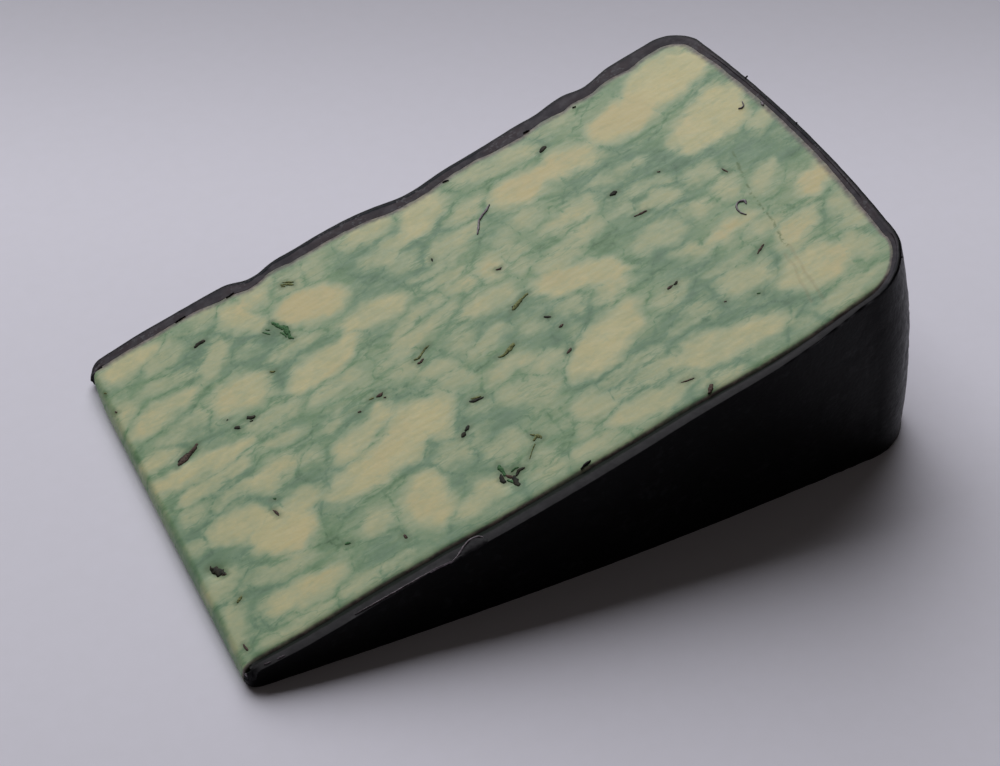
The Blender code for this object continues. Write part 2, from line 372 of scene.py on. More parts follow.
def lip_share(radius, y):
    """How clearly the knife left a dark lip at the wax's outer edge, away from the near side."""
    on_far_side, across_rim = rise_and_fall(radius, *LIP_ALONG_FAR), rise_and_fall(y, *LIP_ACROSS_RIM)
    return mix(LIP_ELSEWHERE, 1.0, np.where(radius > RIM_START, across_rim, on_far_side))


def tip_share(radius, y, least):
    return np.clip((radius - tip(y)) / RINGS_START, least, 1.0)


def groove_share(radius, y, least):
    """How much of its full depth the groove beside the cheese has at a place."""
    return mix(GROOVE_ELSEWHERE, 1.0, nearness(radius, y)) * tip_share(radius, y, least)


def place(radius, y, angle, lift=0.0):
    """The points at this radius and angle about the wheel's axis, lifted square to their radius."""
    x = radius * np.cos(angle) - lift * np.sin(angle)
    z = radius * np.sin(angle) + lift * np.cos(angle)
    return np.stack(np.broadcast_arrays(x, y, z), axis=-1)


def on_top(radius, y, lift=0.0):
    """Points on the top cut."""
    lift = lift + cut_wave(radius, y) - nose_drop(radius, y, TOP_NOSE) - pits(radius, y)
    return place(radius, y, SLICE_ANGLE, lift)


def on_bottom(radius, y, lift=0.0):
    """Points on the bottom cut. lift stands out from it, so down."""
    return place(radius, y, 0.0, nose_drop(radius, y, BOTTOM_NOSE) - lift)


def place_in_row(points):
    """From millimetres in the wheel's frame to metres in the row frame."""
    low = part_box(NODE)[0]
    origin = np.array([low.x - SOLID_LEAST_X * MM, low.y - SOLID_LEAST_Y * MM, low.z])
    return np.asarray(points, float).reshape(-1, 3) * MM + origin


# ---------------------------------------------------------------- meshes


def make_object(name, points, faces, material, attributes=None):
    """A smooth-shaded mesh object that rides on the wedge's body, from points in the wheel's frame."""
    mesh = bpy.data.meshes.new(name)
    mesh.from_pydata(place_in_row(points).tolist(), [], faces)
    for attribute, values in (attributes or {}).items():
        layer = mesh.attributes.new(attribute, "FLOAT", "POINT")
        layer.data.foreach_set("value", np.asarray(values, np.float32))
    mesh.materials.append(material)
    mesh.polygons.foreach_set("use_smooth", [True] * len(mesh.polygons))
    mesh.update()
    obj = bpy.data.objects.new(name, mesh)
    bpy.context.scene.collection.objects.link(obj)
    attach(obj, BODY)
    return obj


def grid_faces(index):
    """Quads between the rows and columns of a table of vertex numbers."""
    a, b = index[:-1, :-1].ravel(), index[1:, :-1].ravel()
    c, d = index[1:, 1:].ravel(), index[:-1, 1:].ravel()
    return np.column_stack([a, b, c, d]).tolist()


def stitch(first, second):
    """Triangles between two rows of vertex numbers that may differ in length."""
    faces = []
    i = j = 0
    while i < len(first) - 1 or j < len(second) - 1:
        next_i, next_j = (i + 1) / (len(first) - 1), (j + 1) / (len(second) - 1)
        if j == len(second) - 1 or (i < len(first) - 1 and next_i <= next_j):
            faces.append((first[i], first[i + 1], second[j]))
            i += 1
        else:
            faces.append((first[i], second[j + 1], second[j]))
            j += 1
    return faces


class CutGrid:
    """Places of a grid over the cheese of a cut, closer together at its edges.

    The outermost rings follow the wax's inner edge, and the rest is spread evenly inside the last of them.
    Row 0 is at the tip and column 0 on the near side. inside is the rough distance from the wax.
    """

    def __init__(self, depth, coarse=1):
        self.depth = depth
        self.length = LENGTH_STEPS // coarse
        self.width = WIDTH_STEPS // coarse
        self.corner = max(CORNER_STEPS // coarse, len(CHEESE_RINGS) + 2)
        self.rim_corner = max(RIM_CORNER_STEPS // coarse, len(CHEESE_RINGS) + 2)
        self.nose = max(NOSE_STEPS // coarse, 3)
        shape = self.length + 1, self.width + 1
        self.radius, self.y, self.lift, self.inside = (np.zeros(shape) for _ in range(4))
        for ring in range(len(CHEESE_RINGS)):
            self.fill_ring(ring)
        self.fill_middle(len(CHEESE_RINGS) - 1)

    def side_row(self, side, ring, inset):
        """The places of a ring along one flat side and half of the corner."""
        i = np.arange(self.length - ring + 1)
        last = self.length - self.corner
        start = cheese_tip(on_flat(side, TIP_RADIUS + 1.0, inset, self.depth)[1])
        end = corner_centre(side, self.depth)[0]
        rounding = start + TOP_NOSE * (1.0 - np.cos(0.5 * np.pi * np.clip(i / self.nose, 0.0, 1.0)))
        share = np.clip((i - self.nose) / (last - self.nose), 0.0, 1.0)
        straight = start + TOP_NOSE + (end - start - TOP_NOSE) * share
        radius, y = on_flat(side, np.where(i <= self.nose, rounding, straight), inset, self.depth)
        turn = np.clip(0.5 * (i - last) / (self.corner - ring), 0.0, 0.5)
        corner_radius, corner_y = on_corner(side, turn, inset, self.depth)
        return np.where(i > last, corner_radius, radius), np.where(i > last, corner_y, y)

    def rim_row(self, ring, inset):
        """The places of a ring across the rim, with half of a corner at both ends."""
        j = np.arange(ring, self.width - ring + 1)
        low, high = corner_centre(-1, self.depth)[1], corner_centre(1, self.depth)[1]
        share = (j - self.rim_corner) / (self.width - 2 * self.rim_corner)
        radius, y = on_rim(mix(low, high, np.clip(share, 0.0, 1.0)), inset)
        for side in (-1, 1):
            from_side = j if side < 0 else self.width - j
            turn = 0.5 + 0.5 * (from_side - ring) / (self.rim_corner - ring)
            corner_radius, corner_y = on_corner(side, np.clip(turn, 0.5, 1.0), inset, self.depth)
            is_corner = from_side < self.rim_corner
            radius, y = np.where(is_corner, corner_radius, radius), np.where(is_corner, corner_y, y)
        return radius, y

    def fill_ring(self, ring):
        inset = (CHEESE_RINGS[ring][0], 1.0)
        last_i, last_j = self.length - ring, self.width - ring
        for side, j in ((-1, ring), (1, last_j)):
            self.put(slice(0, last_i + 1), j, self.side_row(side, ring, inset), ring)
        self.put(last_i, slice(ring, last_j + 1), self.rim_row(ring, inset), ring)

    def put(self, i, j, places, ring):
        """Puts the places of a ring into the grid. The outermost ring is hidden, and stays deep."""
        radius, y = places
        inside, lift = CHEESE_RINGS[ring]
        share = groove_share(radius, y, LEAST_GROOVE) if ring else tip_share(radius, y, LEAST_HIDDEN)
        self.radius[i, j], self.y[i, j] = radius, y
        self.lift[i, j], self.inside[i, j] = lift * share, inside

    def fill_middle(self, ring):
        """Spreads the grid evenly inside this ring."""
        last_i, last_j = self.length - ring, self.width - ring
        across = np.linspace(0.0, 1.0, last_j - ring + 1)
        near_row = self.radius[: last_i + 1, [ring]]
        along = (near_row - near_row[0]) / (near_row[-1] - near_row[0])
        tip_y = mix(self.y[0, ring], self.y[0, last_j], across)
        for table, start in ((self.radius, cheese_tip(tip_y)), (self.y, tip_y)):
            low, high = table[: last_i + 1, [ring]], table[: last_i + 1, [last_j]]
            end = table[last_i, ring : last_j + 1]
            corners = mix(mix(low[0], high[0], across), mix(low[-1], high[-1], across), along)
            inner = mix(low, high, across) + mix(start, end, along) - corners
            table[:last_i, ring + 1 : last_j] = inner[:-1, 1:-1]
        edge = np.minimum(self.y - self.y[:, [ring]], self.y[:, [last_j]] - self.y)
        edge = np.minimum(edge, rim(self.y) - self.radius - ROUGH_RIM_WAX)
        middle = (slice(0, last_i), slice(ring + 1, last_j))
        self.inside[middle] = CHEESE_RINGS[-1][0] + np.maximum(edge[middle], 0.0)


# ---------------------------------------------------------------- marbling, flecks and scraps

# Curds pressed together: radius, y, half length, half width, tilt in degrees, cream share
CURDS = (
    (15.5, 29, 4.8, 2.8, 5, 0.9), (20.5, 26.3, 4.2, 1.8, 20, 0.45), (28, 30, 2.2, 2, 0, 0.3),
    (33, 25.5, 5, 2.8, -60, 0.8), (36.5, 28, 3.5, 2.2, 20, 0.7), (19.5, 21.5, 5, 1.8, 0, 0.3),
    (12.3, 20, 2.2, 2, 0, 0.5), (26.5, 20.5, 4.6, 2.4, 55, 0.6), (32, 18.5, 2, 1.8, 0, 0.4),
    (43.5, 20.5, 6.2, 4.3, -15, 0.9), (42.8, 27.5, 2.5, 2.3, 0, 0.35), (17, 16, 6, 2.2, 5, 0.7),
    (18, 11.5, 5, 1.6, 0, 0.35), (28.3, 11.8, 4.8, 4, 0, 0.75), (37.5, 14.5, 4.5, 1.5, 0, 0.4),
    (40, 8.7, 7, 2.9, 18, 0.9), (13, 8.5, 3.2, 1.8, 0, 0.65), (18, 3, 8, 2.3, -2, 0.85),
    (19, -0.8, 6.5, 1.5, 8, 0.7), (30.5, 4, 4.5, 2, 15, 0.4), (29.8, -0.2, 2.6, 1.5, 0, 0.5),
    (40, 3.3, 4.5, 1.6, 15, 0.4), (13.8, -3.8, 2.8, 1.7, 0, 0.45), (20.5, -4.8, 3.6, 1.5, 15, 0.6),
    (26.3, -5.3, 4.3, 2.6, 0, 0.75), (18.5, -10.5, 5.5, 3.2, -20, 0.95), (23.5, -14.8, 5.5, 4.3, -35, 1.0),
    (28, -12, 3, 2.5, 0, 0.8), (12, -9.7, 2, 2.2, 0, 0.45), (12, -18.5, 3, 1.9, 20, 0.55),
    (20.5, -20.8, 6, 1.8, -5, 0.35), (12, -25.5, 4.2, 2.3, 75, 0.6), (22, -26, 6.8, 2.6, 0, 0.75),
    (19, -30.3, 5, 1.3, 0, 0.35), (28.3, -30.2, 3.2, 1.3, 0, 0.45), (31, -6.2, 2.2, 1.5, 0, 0.35),
    (36.5, -2.5, 1.8, 1.3, 0, 0.4), (40, -7, 6, 2.2, 22, 0.75), (39, -13.2, 9.3, 3.6, 8, 0.85),
    (34.5, -22.8, 2.6, 2.1, 0, 0.65), (42.3, -23.5, 5.2, 3.8, 80, 0.85), (33, -27.3, 3.5, 2.2, 0, 0.15),
    (34.5, -30.6, 3, 1.1, 0, 0.35), (56, 28, 4.5, 2.3, -5, 0.6), (47, 28, 2.5, 2.6, 0, 0.3),
    (58, 22.5, 5, 2.6, 10, 0.7), (64.5, 25.3, 5, 3.2, 45, 0.9), (70.5, 21.5, 3.5, 1.6, 10, 0.55),
    (66, 17, 4.6, 1.6, 5, 0.55), (58, 18.7, 3, 1.5, -20, 0.4), (51, 12.5, 6, 2.6, -5, 0.8),
    (78, 27.5, 7, 2.2, -5, 0.5), (80.5, 19.5, 6.3, 3.8, 0, 0.9), (62.5, 14, 5, 1.1, 0, 0.4),
    (61.5, 11.3, 4, 1.2, 0, 0.45), (62.5, 8.3, 3, 1.4, -10, 0.5), (57, 8.5, 2.2, 1, -25, 0.45),
    (53, 7, 3, 1.2, 35, 0.5), (55, 4.6, 5.5, 1.4, 15, 0.5), (49, 2.4, 2.5, 1.2, 0, 0.35),
    (64.5, 2.5, 4.6, 2.3, -10, 0.75), (68, 8, 2.5, 2.8, 0, 0.55), (72.3, 11.8, 2.2, 1.2, 45, 0.45),
    (77.5, 13.7, 2.5, 1.5, 0, 0.45), (72.5, 8.6, 2.2, 1.2, 0, 0.4), (72, 5.5, 2.5, 1.3, 0, 0.4),
    (76.5, 2.5, 3, 1.7, 0, 0.45), (81, 9, 3.5, 1.8, -15, 0.6), (80.5, 5, 4, 1.2, 0, 0.45),
    (49, -1, 2.5, 1.5, 0, 0.4), (53, -3.7, 2.8, 1.9, 0, 0.55), (54.5, -7.3, 2.8, 2.4, 0, 0.5),
    (58, -1.5, 2, 2, 0, 0.35), (61.5, -4.5, 3.8, 1.6, 10, 0.5), (47.5, -10.3, 5.2, 4.2, -25, 0.9),
    (67.5, -5.3, 1.7, 1.9, 0, 0.5), (73.5, -6, 2, 1.4, 0, 0.5), (78, -2.5, 7.5, 2.6, -25, 0.85),
    (79.5, -7.3, 3.7, 1.7, 0, 0.5), (61.5, -10.3, 3.9, 1.6, 0, 0.55), (66, -12.6, 2, 2, 0, 0.5),
    (71.3, -10.5, 1.5, 1.5, 0, 0.4), (61.5, -16, 5, 2.6, -15, 0.4), (54.5, -13.9, 1.5, 1, 0, 0.3),
    (48.5, -18, 3.5, 2.3, 0, 0.5), (53, -17.5, 2.2, 1.5, 0, 0.35), (74.5, -15, 7.8, 4.4, 25, 0.95),
    (55, -22, 2.8, 2.2, 0, 0.5), (68, -23.5, 3.5, 2.5, -25, 0.65), (72.5, -24.5, 2, 1.2, 0, 0.35),
    (61.8, -24, 2, 1.5, 0, 0.3), (76, -21.5, 5.5, 1.2, 0, 0.35), (78.5, -24.2, 4, 1.2, 0, 0.55),
    (74.5, -28.3, 7.5, 2.5, 0, 0.75), (48, -28.2, 4.5, 2.3, 5, 0.7), (58.3, -27, 2, 2, 0, 0.3),
    (58, -30, 2.5, 1.2, 0, 0.4), (64.5, -30.3, 3, 1.3, 0, 0.45), (65, -26.7, 1.5, 1, 0, 0.35),
    (90, 28.5, 3, 2.3, 0, 0.4), (98.5, 21.8, 6.8, 4.4, 10, 1.0), (107, 24.8, 7.5, 5.5, 15, 1.0),
    (108, 12.5, 7.5, 5, 15, 0.95), (111, 15, 4.2, 4.2, 0, 0.95), (104, 9.5, 3.5, 2.2, 10, 0.9),
    (87.5, 20, 5, 3.6, -25, 0.75), (91.5, 12, 5, 1.6, 0, 0.5), (83.5, 9, 3, 1.8, 0, 0.55),
    (94, 6.8, 3.5, 1.8, -5, 0.5), (84, 4.8, 2, 1.2, 0, 0.5), (89, 5, 2, 1.5, 0, 0.45),
    (94, 2.8, 3.8, 1.9, 0, 0.55), (101, 3.5, 2.8, 1.8, 0, 0.55), (113.5, 7, 3, 2, 40, 0.6),
    (107.5, 1.8, 3, 1.5, 0, 0.25), (90.5, -3, 4, 2.7, 0, 0.6), (96.8, -2, 2, 1.9, 0, 0.55),
    (102.8, -1.5, 2.2, 1.7, 0, 0.45), (108, -3.7, 3.2, 1.8, 35, 0.6), (92.5, -8.7, 3, 1.3, -15, 0.55),
    (99, -8.8, 4.6, 1.4, 3, 0.6), (112.5, -9, 3.8, 2.6, 30, 0.85), (103.2, -11.7, 2.7, 1.8, 0, 0.5),
    (106, -15.2, 4.4, 2.4, 40, 0.7), (113.3, -17.3, 2.5, 3.8, 0, 0.55), (95.7, -18.3, 3.7, 2.8, 0, 0.7),
    (88, -18.2, 2, 1.8, 0, 0.45), (84.5, -20, 2.5, 1.2, 0, 0.35), (86, -14, 3, 1.3, 15, 0.35),
    (94.5, -13.8, 2.5, 1.3, 0, 0.35), (104, -22.5, 6.3, 4, 0, 0.85), (111, -23, 2.5, 2.5, 0, 0.6),
    (88, -26.3, 8.8, 3, -12, 0.9), (105, -29, 6, 1.5, 5, 0.4), (97.3, -29.8, 1.8, 1.2, 0, 0.35),
    (83.5, -31, 3, 1, 0, 0.5),
)

CREAM_FADE = 1.8  # a curd's cream is full this far inside its edge
CREAM_SPILL = 1.3  # and gone this far outside it
MOST_BORDER = 6.0
NEAR_STAIN = 3.0  # the wax's stain on the cheese is this much narrower along the near side
NEAR_STAIN_FADE = (-32.0, -16.0)
FAR_AWAY = 60.0  # stands for any distance that is too long to matter

# Curds of the bottom cut, which are drawn at random
ROWS_START = -31.0
ROWS_END = 33.0
ROW_HEIGHTS = (3.6, 6.5)
CURD_HALF_LENGTHS = (2.0, 6.5)

# Where the sage has washed a wider patch green: radius, y, half width
GREEN_PATCHES = (
    (50, 23, 2.5), (36, 19, 2.5), (57, 11, 2), (98, 12.5, 3), (100, 7, 2.5), (113, -3, 2.5), (84, 1, 3.5),
    (29, -9, 2.5), (28.5, -20.5, 2.5), (33, -27, 4), (62, -25, 3), (12.5, -13, 2.5), (56.5, -18, 2.5),
    (59.5, -7.5, 2), (77, 7, 3), (89, -7, 2.5), (98, -25.5, 2.5), (68, -10, 2), (108, 2.5, 3),
    (47.3, -23, 1), (83, 17, 1.5),
)
PATCH_FLATNESS = 1.3  # the patches are this much shorter along Y

# The strongest green veins, each through a few (radius, y) places
VEINS = (
    ((94, 16.6), (98, 16.3), (103, 17), (108, 18.2), (113, 20)),
    ((90.5, 23), (92, 20), (94, 17)),
    ((30, 24), (32, 21.5), (35, 20), (37.5, 16.3)),
    ((49, 24.5), (51.5, 21), (54, 18), (55.5, 15), (57, 12.5), (57, 9.5)),
    ((65, 20.5), (67, 23), (71, 24.5), (75, 24.3), (79, 23.8)),
    ((10.5, 24.5), (14, 25), (17, 23.3), (20, 22.8), (24, 23), (26.5, 25), (28.5, 26.8)),
    ((12, 17.5), (15, 19.5), (19, 19.5), (23.5, 19)),
    ((24, 16), (28, 16.3), (30, 17), (33, 16)),
    ((10.3, 11), (12, 12.8), (15, 13.2)),
    ((20, 13), (22.5, 14.5), (24.5, 15.5)),
    ((19, 7.8), (23, 7), (25.5, 5)),
    ((33.5, 9), (34, 11.5), (36, 12.3), (39, 13), (43, 13)),
    ((25, 0), (28, 2), (31, 2.5), (33, 2), (35, 0.5), (37, -0.8)),
    ((40, 5), (43, 5.8), (46, 7.5), (50, 7.5)),
    ((10.3, -3.3), (12, -2.3), (17, -3), (20, -2), (24, -2.5), (26.5, -1), (28, -2), (32, -2.3), (35, -0.8)),
    ((12.5, -6.8), (15.5, -7), (19, -6), (21, -6), (23, -8), (25, -9.5)),
    (
        (31.5, -13), (31.5, -10.5), (29.5, -10), (28.5, -8), (30.5, -5.5), (33, -4), (36, -4.5),
        (39, -3.5), (44, -2.5),
    ),
    ((30, -14.5), (29, -17), (28, -20), (28.5, -22), (30, -23)),
    ((15.5, -15), (17, -17), (19.5, -18.5), (22, -20)),
    ((15.5, -20.5), (16.5, -22.5), (19, -23.3), (25, -23), (29, -22.5)),
    ((31, -19), (35, -18.5), (39, -17.8), (43, -17), (45.5, -15.3)),
    ((41, -8.5), (43.5, -7.8), (45, -7)),
    ((15, -26), (16, -29), (18, -29.7)),
    ((57, 13), (60, 12.7), (63, 13.2)),
    ((66, 10.5), (68, 12), (69.5, 14.5), (71, 14.5)),
    ((45, -4.5), (48, -5), (51, -7.5)),
    ((57.5, -5.5), (57.3, -8), (59.5, -7.5), (62, -7.5)),
    ((66.5, -19.5), (67, -17), (69, -14), (71, -12), (73, -10.5), (76, -8)),
    ((66, -19), (70, -20.8), (74, -20), (79, -19.6), (82, -19.7), (84, -17.5)),
    ((54, -15), (56, -18.5), (57.5, -20), (58.5, -22.5)),
    ((62, -21), (62.5, -24), (62, -26.5), (60, -29)),
    ((66, -27.5), (70, -26), (74, -25.8), (78, -26.5)),
    ((82, 13.5), (87, 13), (90, 14.5), (93, 15), (97, 13), (98.5, 12.5)),
    ((91, 9), (95, 8.5), (98, 7), (100, 6.5), (103, 8)),
    ((81, 1.5), (85, 2), (87, 0.5), (90, 0), (95, 0.5), (99, 0)),
    ((105.5, 5), (107, 4), (111, 3), (114, 4.5), (115.5, 6)),
    ((92.5, 27), (94, 29), (95.5, 28.5)),
    ((82, -2), (85, -4), (87, -5.5)),
    ((82, -9.5), (86, -9), (89, -9)),
    ((90, -12), (94, -11.5), (96, -10.5)),
    ((83, -19), (88, -16), (90, -14)),
    ((83, -21.5), (88, -22.5), (93, -23.5), (96, -24.5), (98, -26)),
    ((97, -29), (99, -27.8), (101, -27.3), (105, -27.3), (109, -28), (111, -27)),
    ((105, -7.5), (108, -7.2), (111, -6.8), (113, -6)),
    ((105, -10), (106.5, -12)),
    ((109, -12.5), (113.5, -12.5)),
    ((110, -14), (109.5, -17)),
)

# A fine crack that leaks green, from near the rim towards the near side
CRACK = ((107.5, 5), (106, 0.5), (104.5, -5), (104.2, -10), (103.5, -15), (103.3, -17))
# Brownish streaks that the knife left beyond it
STREAKS = (
    ((103.4, -17), (102.6, -22), (101.6, -29)),
    ((102.2, -18), (101.4, -23), (100.2, -28)),
)

# Flecks of sage on the top cut: tone, and a spine of (radius, y, half width)
FLECKS = (
    ("black", ((25.4, 25.0, 0.25), (26.1, 25.2, 0.36), (27.0, 25.2, 0.3))),
    ("olive", ((41.1, 27.5, 0.13), (41.9, 26.9, 0.2), (42.7, 26.1, 0.15))),
    ("olive", ((41.5, 27.7, 0.1), (42.3, 27.1, 0.16), (42.9, 26.6, 0.1))),
    ("olive", ((41.0, 27.1, 0.1), (41.5, 26.7, 0.12))),
    ("green", ((36.9, 21.4, 0.14), (37.3, 20.6, 0.36), (37.6, 19.8, 0.3), (37.9, 19.0, 0.3))),
    ("green", (
        (38.1, 19.6, 0.2), (38.3, 18.7, 0.42), (38.1, 17.7, 0.3), (38.1, 16.8, 0.26), (38.4, 16.2, 0.2),
    )),
    ("green", ((37.2, 18.6, 0.1), (37.6, 18.0, 0.2), (37.7, 17.2, 0.12))),
    ("green", ((35.0, 20.5, 0.08), (35.5, 19.9, 0.16), (35.8, 19.4, 0.08))),
    ("green", ((35.6, 20.7, 0.08), (36.1, 20.2, 0.12))),
    ("brown", ((15.1, 5.6, 0.3), (15.9, 5.9, 0.55), (16.8, 6.3, 0.5), (17.7, 6.7, 0.32), (18.4, 7.0, 0.26))),
    ("black", ((15.3, 6.2, 0.15), (16.2, 6.6, 0.22), (17.0, 6.9, 0.12))),
    ("brown", ((18.2, 7.0, 0.2), (18.8, 7.35, 0.24))),
    ("black", ((24.6, 6.4, 0.2), (25.0, 6.0, 0.3), (25.2, 5.7, 0.15))),
    ("black", ((26.8, 6.8, 0.25), (27.3, 6.5, 0.42), (27.7, 6.2, 0.28))),
    ("black", ((26.9, 5.9, 0.1), (27.3, 5.8, 0.12))),
    ("black", ((24.1, 8.5, 0.1), (24.3, 8.4, 0.1))),
    ("olive", ((32.9, 12.6, 0.12), (33.3, 12.3, 0.2), (33.6, 12.2, 0.1))),
    ("black", ((61.8, 16.2, 0.08), (61.8, 15.8, 0.14), (61.7, 15.5, 0.08))),
    ("brown", ((68.5, 7.4, 0.12), (68.9, 7.1, 0.2), (69.3, 7.3, 0.14))),
    ("black", ((84.8, 24.3, 0.2), (85.4, 24.6, 0.36), (86.0, 24.9, 0.26))),
    ("black", ((88.8, 9.0, 0.22), (89.2, 8.9, 0.42), (89.7, 9.0, 0.4))),
    ("brown", ((89.4, 2.75, 0.12), (90.4, 2.6, 0.2), (91.3, 2.5, 0.2))),
    ("brown", ((96.4, 8.2, 0.1), (96.8, 8.0, 0.14))),
    ("brown", ((104.0, 2.2, 0.08), (104.1, 1.5, 0.17), (104.3, 0.9, 0.08))),
    ("brown", ((51.4, -0.8, 0.2), (51.8, -0.9, 0.22), (52.3, -0.5, 0.22))),
    ("olive", ((51.2, 0.2, 0.15), (52.0, 0.1, 0.2), (52.6, 0.6, 0.18), (53.4, 1.1, 0.14), (54.1, 1.2, 0.1))),
    ("olive", (
        (66.8, -1.2, 0.2), (67.4, -0.9, 0.36), (68.1, -0.5, 0.34), (69.0, -0.1, 0.18), (70.0, 0.2, 0.2),
    )),
    ("black", ((67.0, -0.6, 0.12), (67.5, -0.8, 0.16))),
    ("olive", (
        (61.2, -7.6, 0.18), (61.9, -7.8, 0.2), (62.9, -7.5, 0.36), (63.8, -7.0, 0.32), (64.1, -6.8, 0.16),
    )),
    ("black", ((62.2, -7.9, 0.1), (62.6, -7.8, 0.14))),
    ("black", ((63.2, -7.2, 0.1), (63.7, -7.3, 0.13))),
    ("black", ((69.8, -5.4, 0.14), (70.2, -5.8, 0.22), (70.6, -6.0, 0.12))),
    ("brown", ((70.6, -8.5, 0.18), (71.0, -8.6, 0.28), (71.3, -8.4, 0.16))),
    ("black", ((54.3, -12.0, 0.16), (54.8, -12.3, 0.26), (55.4, -12.5, 0.22), (56.2, -12.6, 0.12))),
    ("olive", ((54.6, -11.7, 0.1), (55.4, -12.1, 0.2), (56.0, -12.3, 0.1))),
    ("brown", ((69.3, -13.5, 0.16), (69.8, -13.3, 0.26), (70.1, -13.1, 0.14))),
    ("black", ((50.7, -16.9, 0.26), (51.0, -16.7, 0.36), (51.3, -16.5, 0.24))),
    ("black", ((51.5, -16.3, 0.2), (52.0, -16.0, 0.32), (52.2, -15.8, 0.2))),
    ("brown", ((86.1, -12.7, 0.18), (86.6, -12.6, 0.22), (87.0, -12.6, 0.12))),
    ("black", ((87.2, -12.7, 0.16), (87.6, -12.5, 0.24), (87.8, -12.4, 0.12))),
    ("brown", ((99.2, -15.5, 0.12), (99.9, -15.1, 0.18), (100.8, -14.6, 0.12))),
    ("brown", ((79.1, -28.4, 0.08), (79.9, -28.7, 0.13), (80.9, -28.9, 0.1))),
    ("brown", ((36.8, -26.6, 0.16), (36.9, -27.1, 0.26), (37.0, -27.3, 0.14))),
    ("green", ((29.6, -22.7, 0.14), (29.9, -22.9, 0.24), (30.2, -23.1, 0.12))),
    ("olive", ((13.4, -22.0, 0.16), (13.8, -21.7, 0.26), (14.3, -21.4, 0.16))),
    ("brown", ((11.5, -28.7, 0.12), (11.6, -29.3, 0.2), (11.7, -29.9, 0.14))),
    ("black", ((12.3, -14.2, 0.3), (12.7, -14.9, 0.6), (13.2, -15.7, 0.62), (13.5, -16.3, 0.34))),
    ("brown", ((13.3, -16.3, 0.2), (13.8, -16.6, 0.16))),
    ("green", ((52.5, -24.6, 0.2), (52.4, -25.2, 0.34), (52.6, -25.8, 0.24), (52.4, -26.5, 0.2))),
    ("green", ((52.3, -27.4, 0.14), (52.8, -28.0, 0.22), (52.9, -28.5, 0.12))),
    ("green", ((53.4, -26.6, 0.1), (54.0, -26.4, 0.16), (54.6, -26.6, 0.1))),
    ("black", ((52.1, -26.2, 0.16), (51.7, -26.9, 0.34), (51.9, -27.5, 0.3))),
    ("brown", ((52.5, -26.6, 0.12), (52.9, -27.1, 0.26), (53.2, -27.6, 0.16))),
    ("black", ((53.4, -27.4, 0.22), (53.2, -28.2, 0.42), (53.2, -28.9, 0.42), (53.0, -29.3, 0.16))),
    ("black", ((53.7, -27.6, 0.18), (54.3, -27.0, 0.26), (55.2, -27.2, 0.2))),
    ("olive", ((56.4, -26.4, 0.06), (57.2, -25.5, 0.07), (58.2, -24.6, 0.1))),
    ("olive", ((58.4, -24.0, 0.18), (59.0, -23.4, 0.3), (59.3, -23.9, 0.2), (59.4, -24.4, 0.1))),
    ("olive", ((58.4, -22.8, 0.08), (58.8, -23.2, 0.16))),
    ("brown", ((40.5, -3.1, 0.16), (40.9, -3.2, 0.18))),
    ("brown", ((43.9, -2.3, 0.2), (44.5, -2.4, 0.3), (44.9, -2.2, 0.16))),
    ("olive", ((42.8, -2.1, 0.1), (43.4, -2.1, 0.16))),
    ("brown", ((44.7, -3.1, 0.1), (44.9, -3.3, 0.12))),
    ("brown", ((23.5, -10.9, 0.1), (23.7, -11.6, 0.2), (23.9, -12.3, 0.12))),
    ("green", ((24.3, -9.2, 0.1), (24.6, -9.4, 0.18))),
    ("brown", ((10.6, 21.6, 0.1), (10.8, 21.2, 0.16))),
    ("olive", ((10.5, 26.2, 0.1), (10.7, 25.8, 0.14))),
    ("brown", ((91.0, -20.0, 0.08), (91.3, -20.1, 0.1))),
    ("green", ((95.3, -21.7, 0.1), (95.7, -21.9, 0.12))),
    ("brown", ((81.2, -32.4, 0.28), (81.7, -31.9, 0.3), (82.1, -31.4, 0.28))),
)
# Tones of the flecks: how olive, and how green, each from 0 to 1
TONES = {"black": (0.0, 0.0), "brown": (0.35, 0.0), "olive": (0.85, 0.35), "green": (0.25, 1.0)}

# Curls of wax that the knife left on the cheese, as spines
SHAVINGS = (
    (
        (69.5, 15.7, 0.16), (70.3, 16.9, 0.2), (70.9, 18.0, 0.17), (71.7, 18.6, 0.2), (72.7, 19.1, 0.22),
        (73.7, 19.9, 0.14),
    ),
    (
        (101.9, -8.1, 0.12), (101.5, -7.4, 0.15), (101.4, -6.4, 0.15), (101.8, -5.5, 0.16),
        (102.6, -5.2, 0.18), (103.2, -5.7, 0.24), (103.0, -6.3, 0.1),
    ),
    ((113.5, 12.1, 0.08), (113.3, 11.2, 0.12), (112.8, 10.8, 0.15), (112.3, 11.1, 0.11)),
)

# A flap of wax folded over the near edge, as a spine
FOLD = (
    (40.5, -34.75, 0.12), (41.7, -34.6, 0.3), (43.0, -34.2, 0.72), (44.2, -34.1, 0.95), (45.2, -34.5, 0.6),
    (45.7, -34.9, 0.15),
)
